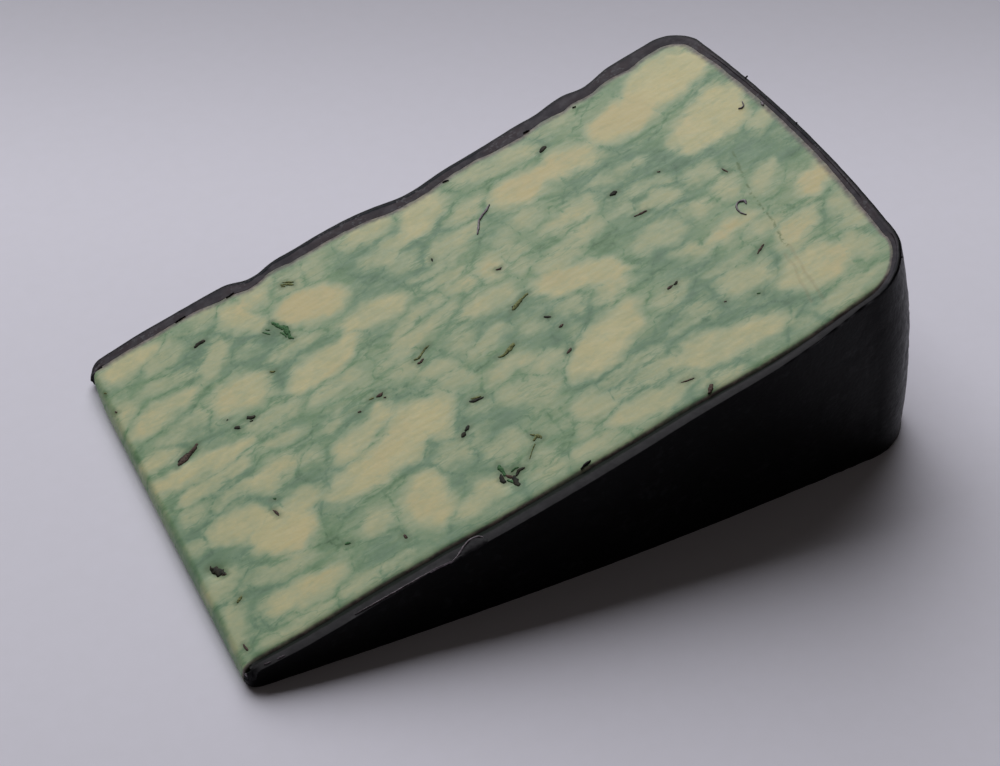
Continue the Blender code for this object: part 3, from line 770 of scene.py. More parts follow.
# Painted highlights in pale wax: on the flap's raised lip, on the thin ridge that the knife drew along the
# edge to it, and at the tip
HIGHLIGHT_RIDGES = (
    (
        (40.1, -34.7, 0.09), (41.2, -34.45, 0.12), (42.0, -33.95, 0.14), (42.8, -33.4, 0.15),
        (43.7, -33.1, 0.16), (44.6, -33.15, 0.15), (45.2, -33.5, 0.12), (45.5, -34.0, 0.08),
    ),
    ((42.9, -34.5, 0.06), (43.3, -34.0, 0.09), (44.0, -33.75, 0.09), (44.6, -33.8, 0.06)),
    (
        (26.0, -33.95, 0.05), (29.0, -34.1, 0.09), (32.0, -34.2, 0.1), (35.0, -34.25, 0.1),
        (38.0, -34.35, 0.1), (40.2, -34.6, 0.08),
    ),
    ((12.7, -33.35, 0.06), (13.1, -33.5, 0.1), (13.6, -33.55, 0.06)),
    ((14.5, -33.7, 0.05), (15.0, -33.8, 0.09), (15.6, -33.8, 0.05)),
    ((9.95, -32.75, 0.1), (10.05, -33.0, 0.12)),
)
# Crumbs of wax on the edges of the top cut and on its rim
CRUMBS = (
    ((61.2, -32.35, 0.1), (61.8, -32.15, 0.2), (62.4, -32.05, 0.22), (62.9, -31.95, 0.1)),
    ((116.5, 16.05, 0.1), (116.85, 16.15, 0.13), (117.0, 16.2, 0.08)),
    ((117.0, 2.5, 0.1), (117.2, 2.6, 0.12)),
    ((113.8, -29.2, 0.1), (113.95, -29.35, 0.12)),
    ((24.7, 31.75, 0.08), (25.5, 31.85, 0.13), (26.4, 31.95, 0.08)),
    ((33.1, 30.95, 0.08), (33.8, 31.0, 0.13), (34.5, 31.1, 0.07)),
    ((70.2, 29.25, 0.1), (70.7, 29.15, 0.17), (71.1, 29.05, 0.1)),
    ((84.8, 29.9, 0.08), (85.3, 29.8, 0.12), (85.8, 29.8, 0.08)),
    ((93.3, 29.3, 0.1), (93.8, 29.2, 0.13)),
)
CHIP = ((115.6, 10.1, 0.1), (115.5, 9.6, 0.22), (115.4, 9.1, 0.12))

# Hollows pressed into the top cut under the largest flecks: radius, y, depth, half width
PITS = ((16.7, 6.3, 0.2, 1.6), (12.9, -15.3, 0.3, 1.3), (53.0, -27.8, 0.25, 1.7), (52.8, 0.7, 0.12, 1.0))


def warped(radius, y):
    """Places moved a little by noise, so that curds and veins aren't geometric."""
    points = flat_points(radius, y)
    shift = [
        1.3 * noise_at(points, 6.0, 4.0 + axis)
        + 0.8 * noise_at(points, 2.8, 12.0 + axis)
        + 0.5 * noise_at(points, 1.4, 6.0 + axis)
        for axis in (0, 1)
    ]
    return np.ravel(radius) + shift[0], np.ravel(y) + shift[1]


def curd_fields(radius, y, curds):
    """How much cream there is at each place, from 0 to 1, and how near the place is to a border of curds.

    Cream fades softly from the inside of a curd over its edge. The border value is 0 where two curds are
    equally near, and otherwise how much nearer the nearest one is.
    """
    nearest = np.full(len(radius), FAR_AWAY)
    second = nearest.copy()
    missing = np.ones(len(radius))
    for curd_radius, curd_y, half_length, half_width, tilt, cream in curds:
        turn = math.radians(tilt)
        across_x, across_y = radius - curd_radius, y - curd_y
        along = across_x * math.cos(turn) + across_y * math.sin(turn)
        aside = across_y * math.cos(turn) - across_x * math.sin(turn)
        reach = np.hypot(along / half_length, aside / half_width) + 1e-6
        distance = np.maximum(np.hypot(along, aside) * (1.0 - 1.0 / reach), -half_width)
        fade = min(CREAM_FADE, 0.8 * half_width)
        missing *= 1.0 - cream * smooth(-fade, CREAM_SPILL, -distance + CREAM_SPILL - fade)
        second = np.where(distance < nearest, nearest, np.minimum(second, distance))
        nearest = np.minimum(nearest, distance)
    return 1.0 - missing, second - nearest


def line_distance(radius, y, line):
    """Distance to a line through a few places."""
    nearest = np.full(len(radius), FAR_AWAY)
    for (x0, y0), (x1, y1) in zip(line[:-1], line[1:]):
        length_squared = (x1 - x0) ** 2 + (y1 - y0) ** 2
        share = ((radius - x0) * (x1 - x0) + (y - y0) * (y1 - y0)) / length_squared
        share = np.clip(share, 0.0, 1.0)
        distance = np.hypot(radius - x0 - share * (x1 - x0), y - y0 - share * (y1 - y0))
        nearest = np.minimum(nearest, distance)
    return nearest


def nearest_line(radius, y, lines):
    """Distance to the nearest of several lines."""
    return np.minimum.reduce([line_distance(radius, y, line) for line in lines])


def fleck_distance(radius, y):
    """Distance to the nearest fleck's edge, taking each fleck's mean half width for its width."""
    distances = []
    for _, spine in FLECKS:
        line = [(spot_radius, spot_y) for spot_radius, spot_y, _ in spine]
        mean_half_width = sum(half_width for _, _, half_width in spine) / len(spine)
        distances.append(line_distance(radius, y, line) - mean_half_width)
    return np.minimum.reduce(distances)


def patch_share(radius, y):
    """How strongly a green patch covers each place, from 0 to 1."""
    share = np.zeros(len(radius))
    for patch_radius, patch_y, half_width in GREEN_PATCHES:
        distance = np.hypot(radius - patch_radius, (y - patch_y) * PATCH_FLATNESS)
        share = np.maximum(share, np.exp(-((distance / half_width) ** 2)))
    return share


def random_curds(seed):
    """Curds scattered over a whole cut in the same manner as those seen on the top one."""
    rng = random.Random(seed)
    curds = []
    row_y = ROWS_START
    while row_y < ROWS_END:
        row_height = rng.uniform(*ROW_HEIGHTS)
        radius = TIP_RADIUS + rng.uniform(0.0, 4.0)
        while radius < RIM_RADIUS:
            half_length = rng.uniform(*CURD_HALF_LENGTHS)
            half_width = rng.uniform(0.3, 0.5) * row_height
            y = row_y + 0.5 * row_height + rng.uniform(-1.0, 1.0)
            tilt = rng.gauss(5.0, 20.0)
            cream = min(1.0, max(0.2, rng.gauss(0.55 + 0.06 * (half_length - 4.0), 0.2)))
            curds.append((radius + half_length, y, half_length, half_width, tilt, cream))
            radius += 2.0 * half_length + rng.uniform(0.2, 1.2)
        row_y += row_height
    return curds


def top_marks(radius, y, warped_radius, warped_y):
    """Patches, veins, crack, streaks and flecks of the top cut at each place."""
    uneven_radius = radius + 0.35 * noise_at(flat_points(radius, y), 2.2, 9.0)
    return {
        "green_patch": patch_share(warped_radius, warped_y),
        "vein_distance": nearest_line(0.5 * (warped_radius + radius), 0.5 * (warped_y + y), VEINS),
        "crack_distance": line_distance(uneven_radius, y, CRACK),
        "streak_distance": nearest_line(uneven_radius, y, STREAKS),
        "fleck_distance": fleck_distance(radius, y),
    }


def no_marks(count):
    """The same values on a cut that has none of them."""
    distances = ("vein_distance", "crack_distance", "streak_distance", "fleck_distance")
    return {"green_patch": np.zeros(count), **{name: np.full(count, FAR_AWAY) for name in distances}}


def marbling(radius, y, inside, curds, is_top):
    """The values at each place from which the cheese's material works out its colour."""
    radius, y = np.ravel(radius), np.ravel(y)
    warped_radius, warped_y = warped(radius, y)
    cream, border = curd_fields(warped_radius, warped_y, curds)
    marks = top_marks(radius, y, warped_radius, warped_y) if is_top else no_marks(len(radius))
    return {
        "cream": cream,
        "curd_border": np.minimum(border, MOST_BORDER),
        "wax_distance": np.ravel(inside) * mix(NEAR_STAIN, 1.0, smooth(*NEAR_STAIN_FADE, y)),
        **marks,
    }


# ---------------------------------------------------------------- cheese


def pattern_radii(grid):
    """Radii for the marbling, which runs on round the tip at its full length."""
    start = grid.radius[0]
    arc = np.arccos(np.clip(1.0 - (grid.radius - start) / TOP_NOSE, 0.0, 1.0))
    return np.where(arc < 0.5 * np.pi, start + TOP_NOSE * (1.0 - (0.5 * np.pi - arc)), grid.radius)


def tip_face(grid, top_row, pattern_row):
    """Points and pattern radii of rows up the tip's face, between the roundings of the two cuts."""
    shares = np.arange(NOSE_ROWS, 0, -1)[:, None] / (NOSE_ROWS + 1)
    bottom_row = on_bottom(grid.radius[0], grid.y[0])
    points = mix(top_row, bottom_row, shares[..., None])
    bulge = NOSE_BULGE * (1.0 - smooth(*NOSE_BULGE_END, grid.y[0]))
    points[..., 0] -= bulge * np.sin(np.pi * shares)
    return points, pattern_row - shares * np.linalg.norm(top_row - bottom_row, axis=1)


def cheese_faces(upper, lower):
    """Faces of both cuts, and of the strips that close the cheese behind the wax and at the tip."""
    faces = grid_faces(upper) + [face[::-1] for face in grid_faces(lower)]
    edges = [np.concatenate([index[:, 0], index[-1, 1:], index[-2::-1, -1]]) for index in (upper, lower)]
    faces += [face[::-1] for face in stitch(*(edge.tolist() for edge in edges))]
    return faces + stitch(upper[0].tolist(), lower[0].tolist())


def cheese_body(material):
    """The cheese inside the wax: top cut, rounded tip and bottom cut."""
    top, bottom = CutGrid(0.0), CutGrid(1.0, BOTTOM_SHARE)
    pattern = pattern_radii(top)
    top_points = on_top(top.radius, top.y, top.lift)
    bottom_points = on_bottom(bottom.radius, bottom.y, np.minimum(bottom.lift, 0.0))
    face_points, face_pattern = tip_face(top, top_points[0], pattern[0])
    upper_points = np.concatenate([face_points, top_points])
    upper_y, upper_inside = (np.concatenate([rows[:1]] * NOSE_ROWS + [rows]) for rows in (top.y, top.inside))

    upper = marbling(np.concatenate([face_pattern, pattern]), upper_y, upper_inside, CURDS, is_top=True)
    lower = marbling(bottom.radius, bottom.y, bottom.inside, random_curds(SEED), is_top=False)
    values = {name: np.concatenate([upper[name], lower[name]]) for name in upper}
    upper_index = np.arange(upper_y.size).reshape(upper_y.shape)
    lower_index = np.arange(bottom.y.size).reshape(bottom.y.shape) + upper_y.size
    points = np.concatenate([upper_points.reshape(-1, 3), bottom_points.reshape(-1, 3)])
    faces = cheese_faces(upper_index, lower_index)
    cheese = make_object("marbled_cheese_body", points, faces, material, values)
    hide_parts(NODE)


# ---------------------------------------------------------------- wax


def edge_stretches():
    """The whole edge from the near end of the tip, round the rim, to the tip's far end."""

    def steps(low, high, step=WAX_STEP, last=False):
        count = max(2, round(abs(high - low) / step))
        return np.linspace(low, high, count + 1)[: None if last else -1]

    near_end, far_end = corner_centre(-1, 0.0), corner_centre(1, 0.0)
    near_start, far_start = TIP_RADIUS + NEAR_TIP_CORNER, TIP_RADIUS + FAR_TIP_CORNER
    return (
        ("tip", -1, steps(1.0, 0.0, NEAR_TIP_STEP)),
        ("flat", -1, steps(near_start, near_end[0])),
        ("corner", -1, steps(0.0, 1.0, NEAR_CORNER_STEP)),
        ("rim", 0, steps(near_end[1], far_end[1])),
        ("corner", 1, steps(1.0, 0.0, FAR_CORNER_STEP)),
        ("flat", 1, steps(far_end[0], far_start)),
        ("tip", 1, steps(0.0, FAR_TIP_TURN, FAR_TIP_STEP, last=True)),
    )


def along_edge(inset, depth):
    """Every place along the edge, at this inset from it.

    The depth and the fixed part of the inset are numbers, or arrays with a value for each place.
    """
    functions = {"flat": on_flat, "corner": on_corner, "tip": on_tip_corner}
    found = []
    done = 0
    for kind, side, places in edge_stretches():
        here = slice(done, done + len(places))
        done += len(places)
        fixed, depth_here = (value[here] if np.ndim(value) else value for value in (inset[0], depth))
        inset_here = fixed, inset[1]
        if kind == "rim":
            found.append(on_rim(places, inset_here))
        else:
            found.append(functions[kind](side, places, inset_here, depth_here))
    return tuple(np.concatenate(rows) for rows in zip(*found))


def wax_bumps(points):
    """How far the outside of the wax stands out from its smooth form, from uneven dipping and handling."""
    swell = RIPPLE_DEPTH * noise_at(points, RIPPLE_LENGTH)
    dimples = 0.1 * noise_at(points, 7.0, 1.0) + 0.05 * noise_at(points, 2.6, 2.0)
    dents = 0.35 * np.minimum(0.0, noise_at(points, 3.4, 3.0) + 0.42)
    scars = np.minimum(0.0, noise_at(points, 1.9, 7.0) + 0.1) + 0.25 * noise_at(points, 1.2, 8.0)
    handled = smooth(*SCARRED_END, points[:, 0]) * smooth(-0.45, 0.1, noise_at(points, 12.0, 9.0))
    return swell + dimples + dents + SCAR_DEPTH * handled * scars


def wax_wall(depth_shares, top_points, bottom_points):
    """Rows of points down the outside, between the rounded edges of the wax at the two cuts."""
    top_angle = np.arctan2(top_points[:, 2], top_points[:, 0])
    bottom_angle = np.arctan2(bottom_points[:, 2], bottom_points[:, 0])
    rows = []
    for share in depth_shares:
        angle = mix(top_angle, bottom_angle, share)
        radius, y = along_edge((0.0, 0.0), 1.0 - angle / SLICE_ANGLE)
        point = place(radius, y, angle)
        outward = point - place(0.5 * RIM_RADIUS, 0.0, angle)
        outward /= np.linalg.norm(outward, axis=1)[:, None]
        fade = math.sin(math.pi * share) ** 0.5
        rows.append(point + outward * (fade * wax_bumps(point))[:, None])
    return rows


def burr(radius, y):
    """Height of a thin ridge that the knife left on the outer edge of the wax along the near side."""
    return np.where(y < -30.0, BURR_HEIGHT * rise_and_fall(radius, *BURR_ALONG), 0.0)


class WaxRows:
    """Rows of points round the whole edge, with the values for the wax's material.

    cut is how much of a point's wax the knife has cut, and inset how far inside the edge it counts as lying.
    """

    def __init__(self):
        self.points, self.cut, self.inset = [], [], []
        self.radius, self.y = along_edge((0.0, 0.0), 0.0)
        self.near = nearness(self.radius, self.y)
        self.lip = lip_share(self.radius, self.y)
        thick_near = smooth(*RAGGED_ALONG, self.radius) * (1.0 - smooth(*RAGGED_FADE_Y, self.y))
        self.ragged = RAGGED_EDGE * mix(RAGGED_ELSEWHERE, 1.0, thick_near)

    def add(self, points, cut=0.0, inset=0.0):
        self.points.append(points)
        self.cut.append(np.broadcast_to(cut, self.radius.shape))
        self.inset.append(np.broadcast_to(inset, self.radius.shape))

    def edge_size(self):
        return mix(1.0, NEAR_EDGE_SIZE, self.near)

    def add_edge_ring(self, ring, depth):
        """A ring of the rounded outer edge, which is sharper on the near side."""
        fixed, share, lift = ring
        size = self.edge_size()
        ragged = self.ragged * noise_at(flat_points(self.radius, self.y), 1.3, 11.0)
        radius, y = along_edge((fixed * size + ragged, share), depth)
        if depth:
            self.add(on_bottom(radius, y, lift * size), 0.0, fixed)
        else:
            raised = burr(radius, y) if CUT_START < fixed < BURR_END else 0.0
            self.add(on_top(radius, y, lift * size + raised), self.near * (fixed > CUT_START), fixed)

    def add_flat_ring(self, ring, depth):
        """A ring of the cut wax or of the groove.

        Across the rim, where the lip is narrow, it counts as lying further in, and near the tip as cut less.
        """
        fixed, share, lift = ring
        radius, y = along_edge((fixed, share), depth)
        inset = np.hypot(radius - self.radius, y - self.y)
        inset *= mix(1.0, RIM_INSET_FACTOR, smooth(RIM_START, RIM_START + RIM_INSET_RISE, self.radius))
        lift = lift * groove_share(radius, y, LEAST_GROOVE)
        if depth:
            self.add(on_bottom(radius, y, lift), 1.0, inset)
        else:
            uneven = CUT_NOISE * noise_at(flat_points(radius, y), 1.8, 5.0)
            cut = 1.0 - TIP_CUT_LESS * self.near * (1.0 - smooth(*TIP_CUT, radius))
            self.add(on_top(radius, y, lift + uneven), cut, inset)

    def add_hidden_ring(self, ring, depth):
        fixed, share, lift = ring
        radius, y = along_edge((fixed, share), depth)
        lift = lift * tip_share(radius, y, LEAST_HIDDEN)
        self.add(on_bottom(radius, y, lift) if depth else on_top(radius, y, lift), 1.0, HIDDEN_INSET)

    def add_cut(self, depth):
        """All rings of a cut: from the hidden ones out at the top, and the other way at the bottom."""
        rings = [(self.add_edge_ring, ring) for ring in WAX_EDGE_RINGS]
        rings += [(self.add_flat_ring, ring) for ring in WAX_FLAT_RINGS]
        rings += [(self.add_hidden_ring, ring) for ring in WAX_HIDDEN_RINGS]
        for add, ring in rings if depth else rings[::-1]:
            add(ring, depth)

    def add_wall(self):
        """The outside, between the two cuts."""
        height = np.minimum(EDGE_HEIGHT * self.edge_size(), MOST_EDGE_HEIGHT * self.radius * SLICE_ANGLE)
        top = on_top(self.radius, self.y, -height)
        bottom = on_bottom(*along_edge((0.0, 0.0), 1.0), -height)
        for row in wax_wall(np.linspace(0.0, 1.0, WALL_ROWS), top, bottom):
            self.add(row)

    def add_inner_wall(self):
        """The hidden face against the cheese, from the last row back to the first."""
        first, last = self.points[0], self.points[-1]
        for share in np.arange(1, INNER_ROWS) / INNER_ROWS:
            self.add(mix(last, first, share), 1.0, HIDDEN_INSET)


def wax_rind(material):
    """The wax: outside wall, cut edges with a groove beside the cheese, and a hidden inner face."""
    rows = WaxRows()
    rows.add_cut(0.0)
    rows.add_wall()
    rows.add_cut(1.0)
    rows.add_inner_wall()
    table = np.stack(rows.points)
    index = np.arange(table.shape[0] * table.shape[1]).reshape(table.shape[:2])
    faces = grid_faces(np.concatenate([index, index[:1]]))
    faces += [index[:, 0].tolist(), index[::-1, -1].tolist()]
    values = {
        "cut": np.concatenate(rows.cut),
        "inset": np.concatenate(rows.inset),
        "near": np.tile(rows.near, len(rows.points)),
        "lip": np.tile(rows.lip, len(rows.points)),
    }
    make_object("wax_rind", table.reshape(-1, 3), faces, material, values)


# ---------------------------------------------------------------- flecks, shavings and other small things

STROKE_STEP = 0.14
STROKE_LEAST_STEPS = 7
STROKE_SIDES = 12
STROKE_SINK = 0.12  # a stroke's lower side is this deep under the cut


def softened(row):
    """The row with its bends rounded a little."""
    for _ in range(2):
        row[1:-1] = 0.25 * row[:-2] + 0.5 * row[1:-1] + 0.25 * row[2:]
    return row


def stroke_line(spine):
    """Radius, y and half width in small steps along a spine, closer together at its rounded ends."""
    spine = np.array(spine)
    for end, before in ((0, 1), (-1, -2)):
        outward = spine[end, :2] - spine[before, :2]
        spine[end, :2] += 0.5 * spine[end, 2] * outward / np.linalg.norm(outward)
    places = np.concatenate([[0.0], np.cumsum(np.hypot(*np.diff(spine[:, :2], axis=0).T))])
    count = max(STROKE_LEAST_STEPS, round(places[-1] / STROKE_STEP))
    along = places[-1] * 0.5 * (1.0 - np.cos(np.pi * np.linspace(0.0, 1.0, count)))
    radius, y, half = (np.interp(along, places, spine[:, column]) for column in range(3))
    half *= np.sqrt(1.0 - 0.98 * np.linspace(-1.0, 1.0, count) ** 4)
    return softened(radius), softened(y), half


def stroke(spine, height, ragged, seed):
    """Points and faces of a low closed ridge along a spine of (radius, y, half width) on the top cut."""
    radius, y, half = stroke_line(spine)
    way = np.stack([np.gradient(radius), np.gradient(y)])
    way /= np.linalg.norm(way, axis=0) + 1e-9
    turn = 2.0 * np.pi * np.arange(STROKE_SIDES) / STROKE_SIDES
    across, up = half[:, None] * np.cos(turn), np.sin(turn)
    radius, y = radius[:, None] - way[1][:, None] * across, y[:, None] + way[0][:, None] * across
    lift = np.where(up > 0.0, height * up * np.sqrt(half / half.max())[:, None], STROKE_SINK * up)

    smooth_points = np.column_stack([radius.ravel(), y.ravel(), lift.ravel()])
    shift = [ragged * half.max() * noise_at(smooth_points, 0.42, seed + axis) for axis in (0.0, 1.0)]
    rough = 1.0 + ragged * noise_at(smooth_points, 0.3, seed + 2.0)
    points = on_top(radius.ravel() + shift[0], y.ravel() + shift[1], lift.ravel() * rough)
    index = np.arange(lift.size).reshape(lift.shape)
    faces = grid_faces(np.concatenate([index, index[:, :1]], axis=1))
    return points, faces + [index[0].tolist(), index[-1, ::-1].tolist()]


def join(pieces):
    """One list of points and one of faces from several."""
    points, faces, done = [], [], 0
    for piece_points, piece_faces in pieces:
        points.append(piece_points)
        faces += [[done + corner for corner in face] for face in piece_faces]
        done += len(piece_points)
    return np.concatenate(points), faces


def sage_flecks(material):
    """The crumbs of herb, each with its tone."""
    pieces, olive, green = [], [], []
    for number, (tone, spine) in enumerate(FLECKS):
        largest = max(half_width for _, _, half_width in spine)
        pieces.append(stroke(spine, 0.06 + 0.25 * largest, 0.55, 20.0 + number))
        count = len(pieces[-1][0])
        olive.append(np.full(count, TONES[tone][0]))
        green.append(np.full(count, TONES[tone][1]))
    points, faces = join(pieces)
    values = {"olive": np.concatenate(olive), "green": np.concatenate(green)}
    make_object("sage_flecks", points, faces, material, values)


def wax_shavings_and_highlights(material):
    """Thin curls and a chip, and pale raised ridges that are painted highlights."""
    spines = (*SHAVINGS, CHIP, *HIGHLIGHT_RIDGES)
    points, faces = join(stroke(spine, 0.22, 0.3, 90.0 + number) for number, spine in enumerate(spines))
    make_object("wax_shavings_and_highlights", points, faces, material)


def wax_crumbs(material):
    """The crumbs and the fold, which are cut wax like the band under them."""
    crumbs = join(stroke(spine, 0.2, 0.5, 120.0 + number) for number, spine in enumerate(CRUMBS))
    points, faces = join((crumbs, stroke(FOLD, 0.3, 0.25, 150.0)))
    is_fold = np.arange(len(points)) >= len(crumbs[0])
    values = {
        "cut": mix(0.25, 0.8, is_fold),
        "near": 1.0 * is_fold,
        "inset": mix(0.6, 1.0, is_fold),
        "lip": 0.5 * is_fold,
    }
    make_object("wax_crumbs", points, faces, material, values)


# ---------------------------------------------------------------- colours

LIT = 0.62  # how bright a white surface on the floor comes out
CHEESE_LIT = 0.75  # and on the cheese, its gloss counted


def srgb(red, green, blue):
    """A linear colour from 0 to 255 values as a picture shows them."""
    channels = []
    for value in (red, green, blue):
        share = value / 255.0
        channels.append(share / 12.92 if share <= 0.04045 else ((share + 0.055) / 1.055) ** 2.4)
    return channels


def surface(red, green, blue, lit=LIT):
    """The colour of a surface that comes out as this in the studio's light."""
    return (*(min(0.95, channel / lit) for channel in srgb(red, green, blue)), 1.0)


def cheese_color(red, green, blue):
    return surface(red, green, blue, CHEESE_LIT)


# Colours of the cheese from its darkest veins to its creamiest curds: level and red, green, blue
CHEESE_COLORS = (
    (-0.7, 58, 88, 54), (-0.35, 81, 112, 76), (0.0, 107, 135, 99), (0.22, 131, 149, 115),
    (0.42, 149, 159, 125), (0.68, 165, 167, 129), (1.0, 187, 178, 132),
)
GOLDEN_CREAM = cheese_color(176, 160, 116)
VEIN_TEAL = cheese_color(96, 122, 106)
FLECK_HALO_COLOR = cheese_color(86, 108, 76)
STREAK_COLOR = cheese_color(122, 104, 70)
CRACK_COLOR = cheese_color(74, 98, 52)
STAIN_COLORS = (cheese_color(70, 58, 60), cheese_color(98, 84, 82))
# Dark and light colour of each tone of herb
HERB_COLORS = {
    "black": (cheese_color(30, 32, 26), cheese_color(50, 48, 38)),
    "olive": (cheese_color(76, 80, 46), cheese_color(122, 128, 82)),
    "brown": (cheese_color(52, 42, 38), cheese_color(88, 70, 62)),
    "green": (cheese_color(42, 78, 46), cheese_color(74, 112, 72)),
}
# Pale thin wax of the curls, also used for the painted highlights on the wax's ridges
THIN_WAX_AND_HIGHLIGHT_COLORS = (cheese_color(74, 66, 72), cheese_color(118, 108, 116))
OUTSIDE_COLORS = ((0.0016, 0.0016, 0.002, 1.0), (0.0036, 0.0034, 0.004, 1.0))
SCUFF_COLOR = (0.0085, 0.0085, 0.0095, 1.0)
CHARCOAL_COLORS = ((0.018, 0.018, 0.0195, 1.0), (0.045, 0.043, 0.047, 1.0))
# Painted shade: the groove beside the cheese is coloured darker than the charcoal band
GROOVE_SHADE_COLOR = (0.0105, 0.0145, 0.0115, 1.0)
SMEAR_COLORS = ((0.044, 0.04, 0.049, 1.0), (0.059, 0.047, 0.054, 1.0))
PALE_SMEAR_COLOR = (0.078, 0.07, 0.08, 1.0)
LIP_COLOR = (0.0165, 0.0205, 0.0265, 1.0)
LINE_COLOR = (0.007, 0.009, 0.014, 1.0)
CRUMB_COLOR = (0.105, 0.1, 0.11, 1.0)
PAPER_COLORS = (surface(187, 185, 194), surface(190, 188, 198))
FLOOR_SHADE_WAY = (0.443, 0.897)  # direction on the floor in which its paper gets darker
FLOOR_SHADE_START = 40.0  # millimetres from the middle of the row
FLOOR_SHADE_END = 145.0
FLOOR_SHADE_LEAST = 0.55

# How the cheese's greens fade: distance at which each is full, the one at which it's gone, and its strength
WASH = (-0.4, 2.0, 0.24)
THREAD = (-0.1, 0.55, 0.44)
VEIN = (-0.6, 1.6, 0.35)
VEIN_CORE = (-0.15, 0.34, 0.56)
GRAIN = (0.0, 0.035, 0.22)  # the distance is one of noise values
FLECK_HALO = (-0.2, 0.9, 0.75)
STREAK = (0.0, 0.4, 0.5)
CRACK_GREEN = (0.0, 0.36, 0.8)
STAIN = (0.0, 1.1, 0.95)


# ---------------------------------------------------------------- materials


class Nodes:
    """Builds a material's nodes in short lines. A value is a number, a colour or a node's output."""

    def __init__(self, name):
        self.material = bpy.data.materials.new(name)
        self.material.use_nodes = True
        self.tree = self.material.node_tree
        self.shader = self.tree.nodes["Principled BSDF"]
        self.coords = self.tree.nodes.new("ShaderNodeTexCoord").outputs["Object"]

    def link(self, value, socket):
        """Connects a socket to another node's output, or sets it to a number or colour."""
        if isinstance(value, bpy.types.NodeSocket):
            self.tree.links.new(value, socket)
        else:
            socket.default_value = value

    def finish(self, values):
        """Gives the shader's sockets their values, and the material back."""
        for name, value in values.items():
            self.link(value, self.shader.inputs[name])
        return self.material

    def attribute(self, name):
        node = self.tree.nodes.new("ShaderNodeAttribute")
        node.attribute_type = "GEOMETRY"
        node.attribute_name = name
        return node.outputs["Fac"]

    def math(self, operation, first, second=0.0, third=0.0):
        node = self.tree.nodes.new("ShaderNodeMath")
        node.operation = operation
        for value, socket in zip((first, second, third), node.inputs):
            self.link(value, socket)
        return node.outputs[0]

    def product(self, first, *others):
        for other in others:
            first = self.math("MULTIPLY", first, other)
        return first

    def largest(self, first, *others):
        for other in others:
            first = self.math("MAXIMUM", first, other)
        return first

    def plus(self, value, other, factor=1.0):
        """The value with the other one added, times the factor."""
        return self.math("MULTIPLY_ADD", other, factor, value)

    def from_middle(self, value, middle=0.5):
        return self.math("SUBTRACT", value, middle)

    def ramp(self, value, low, high, to_low=0.0, to_high=1.0, kind="SMOOTHSTEP"):
        """A rise or fall from to_low, where the value is low, to to_high, where it's high."""
        node = self.tree.nodes.new("ShaderNodeMapRange")
        node.interpolation_type = kind
        sockets = ("Value", "From Min", "From Max", "To Min", "To Max")
        for socket, number in zip(sockets, (value, low, high, to_low, to_high)):
            self.link(number, node.inputs[socket])
        return node.outputs["Result"]

    def fading(self, distance, fade):
        full, gone, strength = fade
        return self.ramp(distance, full, gone, strength, 0.0)

    def noise(self, length, detail=2.0, stretch=1.0, shift=0.0):
        """Noise from 0 to 1 with features of this many millimetres, stretched along the top cut."""
        size = length * MM
        mapping = self.tree.nodes.new("ShaderNodeMapping")
        mapping.vector_type = "TEXTURE"
        mapping.inputs["Scale"].default_value = (size * stretch, size, size)
        mapping.inputs["Rotation"].default_value = (0.0, -SLICE_ANGLE, 0.0)
        mapping.inputs["Location"].default_value = (shift * size, 0.0, 0.0)
        self.link(self.coords, mapping.inputs["Vector"])
        node = self.tree.nodes.new("ShaderNodeTexNoise")
        node.inputs["Scale"].default_value = 1.0
        node.inputs["Detail"].default_value = detail
        self.link(mapping.outputs["Vector"], node.inputs["Vector"])
        return node.outputs["Fac"]

    def color_ramp(self, value, stops):
        """Colour at a value, through stops of (value, red, green, blue)."""
        low, high = stops[0][0], stops[-1][0]
        node = self.tree.nodes.new("ShaderNodeValToRGB")
        elements = node.color_ramp.elements
        while len(elements) < len(stops):
            elements.new(0.5)
        for element, (level, red, green, blue) in zip(elements, stops):
            element.position = (level - low) / (high - low)
            element.color = cheese_color(red, green, blue)
        self.link(self.ramp(value, low, high, kind="LINEAR"), node.inputs["Fac"])
        return node.outputs["Color"]

    def blend(self, share, first, second):
        node = self.tree.nodes.new("ShaderNodeMix")
        node.data_type = "RGBA"
        self.link(share, node.inputs["Factor"])
        self.link(first, node.inputs["A"])
        self.link(second, node.inputs["B"])
        return node.outputs["Result"]

    def bump(self, height, distance):
        """Normals of a surface with this much relief, in millimetres."""
        node = self.tree.nodes.new("ShaderNodeBump")
        node.inputs["Strength"].default_value = 1.0
        node.inputs["Distance"].default_value = distance * MM
        self.link(height, node.inputs["Height"])
        return node.outputs["Normal"]


